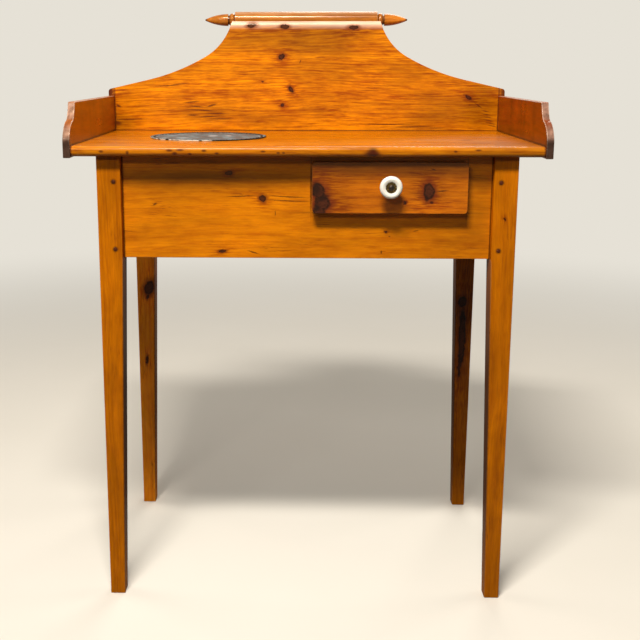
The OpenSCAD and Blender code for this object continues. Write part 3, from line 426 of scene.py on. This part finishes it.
# Brass, cast and long unpolished: brown-black patina, with bright worn specks
brass, tree = new_material("tarnished_brass")
place = add(tree, "TexCoord").outputs["Object"]
tarnish = add(tree, "TexNoise", {
    "Vector": place, "Scale": 650.0, "Detail": 4.0, "Roughness": 0.65}).outputs[0]
bright = add(tree, "MapRange", {0: tarnish, 1: 0.5, 2: 0.8}, **SMOOTH).outputs[0]
colour = add(tree, "Mix", {
    0: bright, 6: linear("#46381f"), 7: linear("#b6955a")}, data_type="RGBA").outputs[2]
rough = add(tree, "MapRange", {0: bright, 3: 0.5, 4: 0.28}).outputs[0]
pits = add(tree, "Bump", {"Height": tarnish, "Strength": 0.4, "Distance": 0.0002}).outputs[0]
shader = add(tree, "BsdfPrincipled", {
    "Base Color": colour, "Metallic": 1.0, "Roughness": rough, "Normal": pits})
add(tree, "OutputMaterial", {0: shader.outputs[0]})

# Wrought iron of the screw, tacks and cut nails: oiled black-brown with rust in the hollows
iron, tree = new_material("rusted_iron")
place = add(tree, "TexCoord").outputs["Object"]
rust_shape = add(tree, "TexNoise", {
    "Vector": place, "Scale": 520.0, "Detail": 4.0, "Roughness": 0.7}).outputs[0]
rust = add(tree, "MapRange", {0: rust_shape, 1: 0.5, 2: 0.7}, **SMOOTH).outputs[0]
colour = add(tree, "Mix", {0: rust, 6: linear("#37312b"), 7: linear("#41200f")}, data_type="RGBA").outputs[2]
rough = add(tree, "MapRange", {0: rust, 3: 0.36, 4: 0.72}).outputs[0]
metal = add(tree, "MapRange", {0: rust, 3: 0.95, 4: 0.25}).outputs[0]
scale = add(tree, "Bump", {"Height": rust_shape, "Strength": 0.5, "Distance": 0.0003}).outputs[0]
shader = add(tree, "BsdfPrincipled", {
    "Base Color": colour, "Metallic": metal, "Roughness": rough, "Normal": scale})
add(tree, "OutputMaterial", {0: shader.outputs[0]})

# Zinc sheet, rolled: dull grey with chalky bloom, crystal grains, dark stains and fine scratches,
# painted glints on a few smoother spots, and a rim painted black as shade all round, dirty behind,
# with painted glints at the front left
zinc, tree = new_material("weathered_zinc_sheet")
place = add(tree, "TexCoord").outputs["Object"]
bloom_shape = add(tree, "TexNoise", {
    "Vector": place, "Scale": 55.0, "Detail": 5.0, "Roughness": 0.65}).outputs[0]
bloom = add(tree, "MapRange", {0: bloom_shape, 1: 0.46, 2: 0.68}, **SMOOTH).outputs[0]
grains = add(tree, "TexVoronoi", {"Vector": place, "Scale": 260.0, "Randomness": 1.0}).outputs["Color"]
grain_light = add(tree, "SeparateXYZ", {0: grains}).outputs[0]
scratch_place = add(tree, "Mapping", {
    "Vector": place, "Rotation": (0.0, 0.0, 0.5), "Scale": (14.0, 900.0, 1.0)}).outputs[0]
scratches = add(tree, "TexNoise", {"Vector": scratch_place, "Scale": 1.0, "Detail": 2.0}).outputs[0]
scratched = add(tree, "MapRange", {0: scratches, 1: 0.62, 2: 0.7}).outputs[0]
colour = add(tree, "Mix", {0: bloom, 6: linear("#4b5a5e"), 7: linear("#8ca1a5")}, data_type="RGBA").outputs[2]
speckle = add(tree, "MapRange", {0: grain_light, 3: 0.82, 4: 1.12}).outputs[0]
colour = add(tree, "VectorMath", {0: colour, "Scale": speckle}, operation="SCALE").outputs[0]
stained_shape = add(tree, "TexNoise", {"Vector": place, "Scale": 30.0, "Detail": 3.0}).outputs[0]
stained = add(tree, "MapRange", {0: stained_shape, 1: 0.56, 2: 0.72, 3: 0.0, 4: 0.5}, **SMOOTH).outputs[0]
colour = add(tree, "Mix", {0: stained, 6: colour, 7: linear("#2f2a24")}, data_type="RGBA").outputs[2]
spot_shape = add(tree, "TexNoise", {"Vector": place, "Scale": 85.0, "Detail": 2.0}).outputs[0]
# Painted glints: a few pale spots, smoother too
painted_glint_spots = add(tree, "Value").outputs[0]
painted_glint_spots.default_value = 0.0
for x, y, long, wide in (
        (-0.161, 0.015, 0.009, 0.014), (-0.133, 0.017, 0.006, 0.010), (-0.205, -0.03, 0.010, 0.005)):
    own = add(tree, "Mapping", {
        "Vector": place, "Location": (x, y, COVER[2]), "Scale": (long, wide, 1.0)}, vector_type="TEXTURE")
    apart = add(tree, "VectorMath", {0: own.outputs[0]}, operation="LENGTH").outputs["Value"]
    uneven = add(tree, "Math", {0: spot_shape, 1: 1.4, 2: apart}, operation="MULTIPLY_ADD").outputs[0]
    spot = add(tree, "MapRange", {0: uneven, 1: 1.9, 2: 1.3}, **SMOOTH).outputs[0]
    painted_glint_spots = add(tree, "Math", {0: painted_glint_spots, 1: spot}, operation="MAXIMUM").outputs[0]
colour = add(tree, "Mix", {0: painted_glint_spots, 6: colour, 7: linear("#b2bec2")}, data_type="RGBA").outputs[2]
from_middle = add(tree, "Mapping", {
    "Vector": place, "Location": (-COVER[0], -COVER[1], 0.0), "Scale": (1.0, 1.0, 0.0)})
out_from_middle = add(tree, "VectorMath", {0: from_middle.outputs[0]}, operation="LENGTH").outputs["Value"]
lip = add(tree, "MapRange", {0: out_from_middle, 1: 0.0935, 2: 0.0955}, **SMOOTH).outputs[0]
sides = add(tree, "SeparateXYZ", {0: place})
behind = add(tree, "MapRange", {0: sides.outputs[1], 1: 0.03, 2: 0.07, 3: 0.0, 4: 0.85}).outputs[0]
dirty = add(tree, "Math", {0: lip, 1: behind}, operation="MULTIPLY").outputs[0]
colour = add(tree, "Mix", {0: dirty, 6: colour, 7: linear("#33312c")}, data_type="RGBA").outputs[2]
# The rim painted black all round, as shade
painted_shade_rim = add(tree, "MapRange", {0: out_from_middle, 1: 0.0972, 2: 0.0982}, **SMOOTH).outputs[0]
colour = add(tree, "Mix", {0: painted_shade_rim, 6: colour, 7: linear("#1d1712")}, data_type="RGBA").outputs[2]
# Painted glints, broken up, on the rim at the front left
outermost = add(tree, "MapRange", {0: out_from_middle, 1: 0.0983, 2: 0.0988}).outputs[0]
front_left = add(tree, "MapRange", {0: sides.outputs[0], 1: -0.145, 2: -0.165}).outputs[0]
front_left = add(tree, "Math", {0: outermost, 1: front_left}, operation="MULTIPLY").outputs[0]
broken = add(tree, "MapRange", {0: spot_shape, 1: 0.38, 2: 0.5}).outputs[0]
painted_rim_glint = add(tree, "Math", {0: front_left, 1: broken}, operation="MULTIPLY").outputs[0]
colour = add(tree, "Mix", {0: painted_rim_glint, 6: colour, 7: linear("#d8d2c4")}, data_type="RGBA").outputs[2]
rough = add(tree, "MapRange", {0: bloom, 3: 0.4, 4: 0.6}).outputs[0]
rough = add(tree, "Mix", {0: painted_glint_spots, 2: rough, 3: 0.3}).outputs[0]
scored = add(tree, "Math", {0: scratched, 1: -0.6, 2: bloom_shape}, operation="MULTIPLY_ADD").outputs[0]
dents = add(tree, "Bump", {"Height": scored, "Strength": 0.5, "Distance": 0.0004}).outputs[0]
shader = add(tree, "BsdfPrincipled", {
    "Base Color": colour, "Metallic": 0.05, "Roughness": rough, "Specular IOR Level": 0.12, "Normal": dents})
add(tree, "OutputMaterial", {0: shader.outputs[0]})


def select_only(*pieces):
    """Selects these pieces and nothing else, the last one active."""
    bpy.ops.object.select_all(action="DESELECT")
    for piece in pieces:
        piece.select_set(True)
        bpy.context.view_layer.objects.active = piece


def finish_piece(piece, name, body, material, node):
    """Names a finished piece, gives it its finish, and lets it ride and stand for its CAD node."""
    piece.name = name
    piece.data.name = name
    piece.data.materials.clear()
    piece.data.materials.append(material)
    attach(piece, body)
    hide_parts(node)


def copied(name, model):
    """A new piece with its own copy of the model's mesh."""
    piece = bpy.data.objects.new(name, model.data.copy())
    bpy.context.scene.collection.objects.link(piece)
    return piece


def copy_of(node):
    """A copy of a CAD board with its loose triangles joined into whole faces."""
    piece = copied(node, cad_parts[node])
    select_only(piece)
    bpy.ops.object.mode_set(mode="EDIT")
    bpy.ops.mesh.customdata_custom_splitnormals_clear()
    bpy.ops.mesh.select_all(action="SELECT")
    bpy.ops.mesh.remove_doubles(threshold=0.02 * MM)
    bpy.ops.mesh.dissolve_limited(angle_limit=math.radians(1.0))
    bpy.ops.mesh.select_all(action="DESELECT")
    bpy.ops.object.mode_set(mode="OBJECT")
    return piece


def ease_arrises(piece, width, where, shortest=0.0):
    """Rounds the sharp outer edges whose middle passes the test, and marks the new faces for wear and painted
    sheen.
    """
    select_only(piece)
    bpy.ops.object.mode_set(mode="EDIT")
    bpy.ops.mesh.select_mode(type="EDGE")
    bpy.ops.mesh.select_all(action="DESELECT")
    shape = bmesh.from_edit_mesh(piece.data)
    for edge in shape.edges:
        sharp = len(edge.link_faces) == 2 and edge.is_convex and edge.calc_face_angle() > SHARP
        middle = (edge.verts[0].co + edge.verts[1].co) / 2
        edge.select_set(sharp and edge.calc_length() >= shortest * MM and where(middle))
    bmesh.update_edit_mesh(piece.data)
    bpy.ops.mesh.bevel(offset=width * MM, segments=3, profile=0.5, affect="EDGES", clamp_overlap=True)
    shape = bmesh.from_edit_mesh(piece.data)
    eased = [face.index for face in shape.faces if face.select]
    bpy.ops.object.mode_set(mode="OBJECT")
    wear_and_sheen = piece.data.attributes.new("wear_and_sheen", "FLOAT", "FACE")
    for index in eased:
        wear_and_sheen.data[index].value = 1.0
    smooth_flat(piece)


def set_wear_and_sheen(piece, amount, where):
    """Marks the faces that pass the test with an amount of wear and painted sheen, by their middle and
    normal.
    """
    wear_and_sheen = piece.data.attributes.get("wear_and_sheen") or piece.data.attributes.new("wear_and_sheen", "FLOAT", "FACE")
    for face in piece.data.polygons:
        if where(face.center, face.normal):
            wear_and_sheen.data[face.index].value = amount


def smooth_flat(piece):
    """Smooth shading on curves and easings, with the flat faces kept flat."""
    select_only(piece)
    bpy.ops.object.shade_smooth_by_angle(angle=math.radians(40))
    bpy.ops.object.modifier_add(type="WEIGHTED_NORMAL")
    piece.modifiers[-1].keep_sharp = True
    bpy.ops.object.modifier_apply(modifier=piece.modifiers[-1].name)


def cut_away(piece, tool):
    """Takes the tool's shape out of the piece, and deletes the tool."""
    select_only(piece)
    bpy.ops.object.modifier_add(type="BOOLEAN")
    cut = piece.modifiers[-1]
    cut.operation = "DIFFERENCE"
    cut.solver = "EXACT"
    cut.object = tool
    bpy.ops.object.modifier_apply(modifier=cut.name)
    bpy.data.objects.remove(tool)


def joined(pieces):
    """Several pieces made one."""
    select_only(*pieces)
    bpy.ops.object.join()
    return bpy.context.view_layer.objects.active


def settle(piece):
    """Puts a piece's place, turn and size into its mesh."""
    select_only(piece)
    bpy.ops.object.transform_apply(location=True, rotation=True, scale=True)


def turned(outline, steps=96):
    """A turned solid about +Z from (radius, height) points in millimetres, foot first."""
    bpy.ops.object.select_all(action="DESELECT")
    bpy.ops.mesh.primitive_circle_add(
        vertices=steps, radius=outline[0][0] * MM, fill_type="NGON", location=(0, 0, outline[0][1] * MM))
    piece = bpy.context.view_layer.objects.active
    settle(piece)
    bpy.ops.object.mode_set(mode="EDIT")
    bpy.ops.mesh.select_all(action="SELECT")
    for (radius, height), (next_radius, next_height) in zip(outline, outline[1:]):
        rise = (next_height - height) * MM
        bpy.ops.mesh.extrude_region_move(TRANSFORM_OT_translate={"value": (0, 0, rise)})
        ratio = next_radius / radius
        bpy.ops.transform.resize(value=(ratio, ratio, 1), center_override=(0, 0, next_height * MM))
    bpy.ops.mesh.select_all(action="SELECT")
    bpy.ops.mesh.normals_make_consistent(inside=False)
    bpy.ops.object.mode_set(mode="OBJECT")
    return piece


def on_knob_axis(piece, sharp):
    """Lays a turned piece along the knob's axis, in front of the drawer, with its curves smooth."""
    piece.rotation_euler = (math.radians(90), 0, 0)
    piece.location = KNOB_AXIS
    settle(piece)
    bpy.ops.object.shade_smooth_by_angle(angle=math.radians(sharp))


def arc(centre, radius, start, end, steps):
    """Points on an arc, angles in degrees."""
    angles = [math.radians(start + (end - start) * i / steps) for i in range(steps + 1)]
    return [(centre[0] + radius * math.cos(a), centre[1] + radius * math.sin(a)) for a in angles]


# Top board, with a chip broken from the underside of its nosing
top = copy_of("top_board")
bpy.ops.mesh.primitive_ico_sphere_add(subdivisions=2, radius=1.0, location=(0.0975, -0.2005, 0.7352))
chip = bpy.context.view_layer.objects.active
chip.scale = (0.0075, 0.0042, 0.0030)
settle(chip)
for point in chip.data.vertices:
    point.co += Vector((0.5, 0.3, 0.3)) * MM * noise.noise(point.co * 700)
cut_away(top, chip)
# The nosing's upper round is painted paler as a highlight
set_wear_and_sheen(top, 0.12, lambda middle, normal: middle.y < -0.1915 and 0.45 < normal.z < 0.97)
smooth_flat(top)
finish_piece(top, "worn_top_board", "stand", top_pine, "top_board")

# Backboard and galleries, their sawn edges rubbed round and made paler with wear and painted sheen
backboard = copy_of("backboard")
ease_arrises(backboard, 1.3, where=lambda middle: middle.z > 0.7505)
set_wear_and_sheen(backboard, 0.0, lambda middle, normal: middle.z > 0.9425)
finish_piece(backboard, "worn_backboard", "stand", back_pine, "backboard")
for side in ("left", "right"):
    node = side + "_gallery"
    gallery = copy_of(node)
    ease_arrises(gallery, 1.2, where=lambda middle: middle.y < 0.170)
    finish_piece(gallery, "worn_" + node, "stand", gallery_pines[side], node)

# Crest rod
rod = copy_of("crest_rod")
ease_arrises(rod, 0.8, where=lambda middle: 0.1318 < abs(middle.x) < 0.1322)
# The rod's upper faces are painted paler as a highlight
set_wear_and_sheen(rod, 0.5, lambda middle, normal: abs(middle.x) < 0.134 and normal.z > 0.6)
finish_piece(rod, "worn_crest_rod", "stand", turned_pine, "crest_rod")

# Legs, their long arrises and feet worn and made paler with wear and painted sheen, except the inner arrises
# beside the aprons
for end in ("front", "back"):
    for side in ("left", "right"):
        node = end + "_" + side + "_leg"
        leg = copy_of(node)
        ease_arrises(leg, 1.4, shortest=16.0, where=lambda middle: middle.z < 0.7335)
        set_wear_and_sheen(leg, 0.0, lambda middle, normal: middle.z > 0.57 and abs(middle.x) < 0.2895)
        wood = leg_pines["front" if end == "front" else "back_" + side]
        finish_piece(leg, "worn_" + node, "stand", wood, node)

# Aprons
for node, material in (
        ("front_apron", apron_pine), ("back_apron", back_apron_pine), ("left_apron", side_apron_pine),
        ("right_apron", side_apron_pine)):
    apron = copy_of(node)
    ease_arrises(apron, 0.9, shortest=12.0, where=lambda middle: middle.z < 0.58)
    finish_piece(apron, "worn_" + node, "stand", material, node)

# Drawer front, its face edges rounded over
drawer = copy_of("drawer_front")
ease_arrises(drawer, 2.2, where=lambda middle: middle.y < -0.1860)
finish_piece(drawer, "worn_drawer_front", "drawer", drawer_pine, "drawer_front")

# Inner pieces keep their CAD shape
for material, nodes in (
        (raw_pine, ("glue_blocks", "left_runner", "right_runner", "left_guide", "right_guide", "left_kicker",
                    "right_kicker", "drawer_left_side", "drawer_right_side")),
        (raw_cross_pine, ("drawer_back", "drawer_bottom")),
        (iron, ("knob_nut", "drawer_bottom_nails", "crest_rod_nails", "backboard_nails", "gallery_nails"))):
    for node in nodes:
        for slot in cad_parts[node].material_slots:
            slot.material = material

# Porcelain knob, with a narrow neck and a dished face 23 mm in front of the drawer
FACE = 23.0
knob = turned(
    [(2.6, 0.0), (10.2, 0.0)] + arc((9.5, 1.5), 1.5, -60, 75, 8) + [(9.2, 3.2)]
    + arc((9.9, 4.9), 1.9, 240, 180, 5) + [(8.0, 8.5)] + arc((10.5, 10.6), 2.5, 180, 110, 7)
    + arc((12.5, 18.0), 5.0, -80, 88, 22)
    + [(11.8, FACE - 0.15), (10.8, FACE - 0.45), (9.6, FACE - 0.85), (8.5, FACE - 1.2), (8.35, FACE - 1.7),
       (2.6, FACE - 1.9)])
on_knob_axis(knob, 60)
finish_piece(knob, "porcelain_knob", "drawer", porcelain, "knob")

# Cupped washer in the knob's dish
washer = turned(
    [(2.6, 21.05), (8.2, 21.05)] + arc((7.6, 21.75), 0.6, -40, 110, 8)
    + [(6.4, 22.0), (5.2, 22.45), (4.0, 22.5), (2.6, 22.4)])
on_knob_axis(washer, 50)
finish_piece(washer, "cupped_washer", "drawer", brass, "knob_washer")

# Round-headed screw, with a slot
dome = [(4.5 * math.cos(math.radians(a)), 22.55 + 2.75 * math.sin(math.radians(a))) for a in range(0, 90, 9)]
screw = turned([(2.25, -26.9), (2.25, 22.3), (4.3, 22.4)] + dome + [(0.25, 25.3)], steps=64)
bpy.ops.object.select_all(action="DESELECT")
bpy.ops.mesh.primitive_cube_add(size=1.0, location=(0, 0, 0.0254))
slot_tool = bpy.context.view_layer.objects.active
slot_tool.scale = (0.012, 0.0011, 0.0030)
slot_tool.rotation_euler = (0, 0, math.radians(24))
settle(slot_tool)
cut_away(screw, slot_tool)
on_knob_axis(screw, 35)
finish_piece(screw, "slotted_screw", "drawer", iron, "knob_screw")

# Zinc plate: a rolled rim and a field that years of knocks have left uneven
rim = arc((98.0, 1.0), 1.0, -90, 180, 12)
cover = turned(
    [(60.0, 0.0), (96.6, 0.0)] + rim + [(96.4, 0.85)]
    + [(r, 0.8) for r in (94, 92, 90, 86, 80, 72, 64, 55, 45, 34, 22, 10)], steps=128)
for point in cover.data.vertices:
    if point.co.z > 0.7 * MM:
        reach = 1.0 - min(1.0, point.co.to_2d().length / 0.096)
        swell = noise.noise(Vector((point.co.x, point.co.y, 0.0)) * 26) * 0.9 + 0.35
        point.co.z += max(0.0, swell) * min(1.0, reach * 6) * 0.9 * MM
cover.location = COVER
settle(cover)
bpy.ops.object.shade_smooth_by_angle(angle=math.radians(50))
finish_piece(cover, "zinc_plate", "stand", zinc, "basin_hole_cover")

# Tacks: one is hammered flat on top with a nick in its rim, and copied round the plate
bpy.ops.object.select_all(action="DESELECT")
bpy.ops.mesh.primitive_uv_sphere_add(segments=12, ring_count=6, radius=0.002)
model = bpy.context.view_layer.objects.active
bpy.ops.object.mode_set(mode="EDIT")
bpy.ops.mesh.select_all(action="SELECT")
bpy.ops.mesh.bisect(plane_co=(0, 0, 0), plane_no=(0, 0, 1), clear_inner=True, use_fill=True)
bpy.ops.mesh.select_all(action="SELECT")
bpy.ops.transform.resize(value=(1, 1, 0.8), center_override=(0, 0, 0))
bpy.ops.mesh.bisect(plane_co=(0, 0, 0.00138), plane_no=(0.09, 0.05, 1), clear_outer=True, use_fill=True)
bpy.ops.mesh.inset(thickness=0.00022, depth=0.00007)
bpy.ops.mesh.select_all(action="SELECT")
bpy.ops.mesh.bisect(plane_co=(0.00185, 0, 0), plane_no=(1, 0.3, 0.2), clear_outer=True, use_fill=True)
bpy.ops.mesh.select_all(action="SELECT")
bpy.ops.mesh.normals_make_consistent(inside=False)
bpy.ops.object.mode_set(mode="OBJECT")
TACKS = 60
TACK_CIRCLE = 0.092    # radius of the circle of tacks
PLATE_TOP = 0.0006    # a little inside the plate's upper face, where the heads sit
tacks = []
for i in range(TACKS):
    turn = 2 * math.pi * i / TACKS + chance.uniform(-0.012, 0.012)
    reach = TACK_CIRCLE + chance.uniform(-0.0005, 0.0005)
    tack = copied("tack", model)
    size = chance.uniform(0.92, 1.05)
    tack.scale = (size, size, chance.uniform(0.9, 1.1))
    tack.rotation_euler = (chance.uniform(-0.06, 0.06), chance.uniform(-0.06, 0.06), chance.uniform(0, 6))
    across, back = reach * math.cos(turn), reach * math.sin(turn)
    tack.location = (COVER[0] + across, COVER[1] + back, COVER[2] + PLATE_TOP)
    tacks.append(tack)
bpy.data.objects.remove(model)
tacks = joined(tacks)
settle(tacks)
bpy.ops.object.shade_smooth_by_angle(angle=math.radians(35))
finish_piece(tacks, "tack_heads", "stand", iron, "cover_tacks")

# Pegs: one is whittled to nine sides, with crushed ends, and copied into every joint
bpy.ops.object.select_all(action="DESELECT")
bpy.ops.mesh.primitive_cylinder_add(vertices=9, radius=0.0030, depth=0.0316)
model = bpy.context.view_layer.objects.active
bpy.ops.object.mode_set(mode="EDIT")
bpy.ops.mesh.select_mode(type="FACE")
bpy.ops.mesh.select_all(action="SELECT")
bpy.ops.mesh.bevel(offset=0.00045, segments=2, affect="EDGES")
for end in (-1, 1):
    bpy.ops.mesh.select_all(action="DESELECT")
    shape = bmesh.from_edit_mesh(model.data)
    for part in shape.faces:
        part.select_set(part.normal.z * end > 0.95)
    bmesh.update_edit_mesh(model.data)
    bpy.ops.mesh.inset(thickness=0.0006, depth=0.0003)
    bpy.ops.mesh.inset(thickness=0.0008, depth=0.0001)
bpy.ops.mesh.select_all(action="SELECT")
bpy.ops.mesh.normals_make_consistent(inside=False)
bpy.ops.object.mode_set(mode="OBJECT")
LEGS_X, FRONT_Y, REAR_Y = 0.324, -0.181925, 0.195075    # outer faces of the legs
INSET = 0.026    # from a leg's outer arris to the peg's axis
SUNK = 0.0158    # from a leg's outer face to the peg's middle
pegs = []
for x in (-1, 1):
    for y in (-1, 1):
        corner = (x * LEGS_X, FRONT_Y if y < 0 else REAR_Y)
        for along_y in (False, True):
            shift = 12 if along_y else 0
            for z in ((PEG_HEIGHTS[0] - shift) * MM, (PEG_HEIGHTS[1] + shift) * MM):
                peg = copied("peg", model)
                if along_y:
                    peg.rotation_euler = (chance.uniform(0, 6), math.radians(90), 0)
                    peg.location = (corner[0] - x * SUNK, corner[1] - y * INSET, z)
                else:
                    peg.rotation_euler = (math.radians(90), chance.uniform(0, 6), 0)
                    peg.location = (corner[0] - x * INSET, corner[1] - y * SUNK, z)
                pegs.append(peg)
bpy.data.objects.remove(model)
pegs = joined(pegs)
settle(pegs)
finish_piece(pegs, "whittled_pegs", "stand", peg_pine, "joint_pegs")

# Plain pale floor. Far off it turns into the background, and it throws little light back up.
bpy.ops.object.select_all(action="DESELECT")
bpy.ops.mesh.primitive_plane_add(size=24.0, location=(0, 0, 0))
floor = bpy.context.view_layer.objects.active
floor.name = "floor"
pale, tree = new_material("pale_matt_floor")
seen = seen_ray(tree)
place = add(tree, "TexCoord").outputs["Object"]
grit = add(tree, "TexNoise", {"Vector": place, "Scale": 3.0, "Detail": 4.0}).outputs[0]
tone = add(tree, "Mix", {0: grit, 6: linear("#e9e5dc"), 7: linear("#e3dfd5")}, data_type="RGBA").outputs[2]
tone = add(tree, "Mix", {0: seen, 6: linear("#43413d"), 7: tone}, data_type="RGBA").outputs[2]
near = add(tree, "BsdfPrincipled", {"Base Color": tone, "Roughness": 0.9, "Specular IOR Level": 0.1})
far = add(tree, "Emission", {"Color": linear("#e6e1d6"), "Strength": 1.0})
away = add(tree, "VectorMath", {0: place}, operation="LENGTH").outputs["Value"]
fade = add(tree, "MapRange", {0: away, 1: 0.9, 2: 3.2}, **SMOOTH).outputs[0]
fade = add(tree, "Math", {0: fade, 1: seen}, operation="MULTIPLY").outputs[0]
ground = add(tree, "MixShader", {0: fade, 1: near.outputs[0], 2: far.outputs[0]})
add(tree, "OutputMaterial", {0: ground.outputs[0]})
floor.data.materials.append(pale)


def soft_lamp(name, place, target, size, power):
    """A rectangular studio lamp of slightly warm light that faces its target."""
    lamp = bpy.data.lights.new(name, "AREA")
    lamp.shape = "RECTANGLE"
    lamp.size, lamp.size_y = size
    lamp.energy = power
    lamp.color = linear("#fff8ee")[:3]
    holder = bpy.data.objects.new(name, lamp)
    holder.location = place
    holder.rotation_mode = "QUATERNION"
    holder.rotation_quaternion = (Vector(target) - Vector(place)).to_track_quat("-Z", "Y")
    bpy.context.scene.collection.objects.link(holder)


# Two soft lamps in front, one high and one lower, and weak ones at the sides and behind
soft_lamp("high_lamp", (-0.25, -1.24, 2.4), (0.0, -0.1, 0.6), (0.7, 0.22), 69.0)
soft_lamp("front_lamp", (-0.9, -2.3, 1.9), (0.0, -0.1, 0.6), (0.9, 0.25), 13.5)
soft_lamp("left_lamp", (-2.3, 0.7, 1.4), (0.0, 0.0, 0.5), (1.2, 1.2), 13.0)
soft_lamp("right_lamp", (2.3, 0.7, 1.4), (0.0, 0.0, 0.5), (1.2, 1.2), 12.0)
soft_lamp("rear_lamp", (0.5, 2.0, 2.3), (0.0, 0.0, 0.5), (1.2, 0.8), 22.0)

# World: an even dim light on the object, and a pale ground for the camera and for reflections
world = bpy.data.worlds.new("pale_room")
bpy.context.scene.world = world
world.use_nodes = True
tree = world.node_tree
tree.nodes.clear()
seen = seen_ray(tree)
dim = add(tree, "Background", {"Color": linear("#f6f2ea"), "Strength": 0.05})
ground = add(tree, "Background", {"Color": linear("#e6e1d6"), "Strength": 1.0})
shown = add(tree, "MixShader", {0: seen, 1: dim.outputs[0], 2: ground.outputs[0]})
add(tree, "OutputWorld", {0: shown.outputs[0]})

# Camera: in front, a little left of the middle, at the photograph's angle
camera = bpy.data.objects.new("camera", bpy.data.cameras.new("camera"))
bpy.context.scene.collection.objects.link(camera)
camera.data.sensor_width = 36.0
camera.data.lens = 55.055
camera.data.shift_x = 0.0699
camera.data.shift_y = -0.0905
camera.location = (-0.00993, -1.68066, 0.86851)
camera.rotation_euler = (math.pi / 2 - 0.1972, 0.0, 0.0253)
bpy.context.scene.camera = camera
bpy.context.scene.view_settings.view_transform = "Standard"
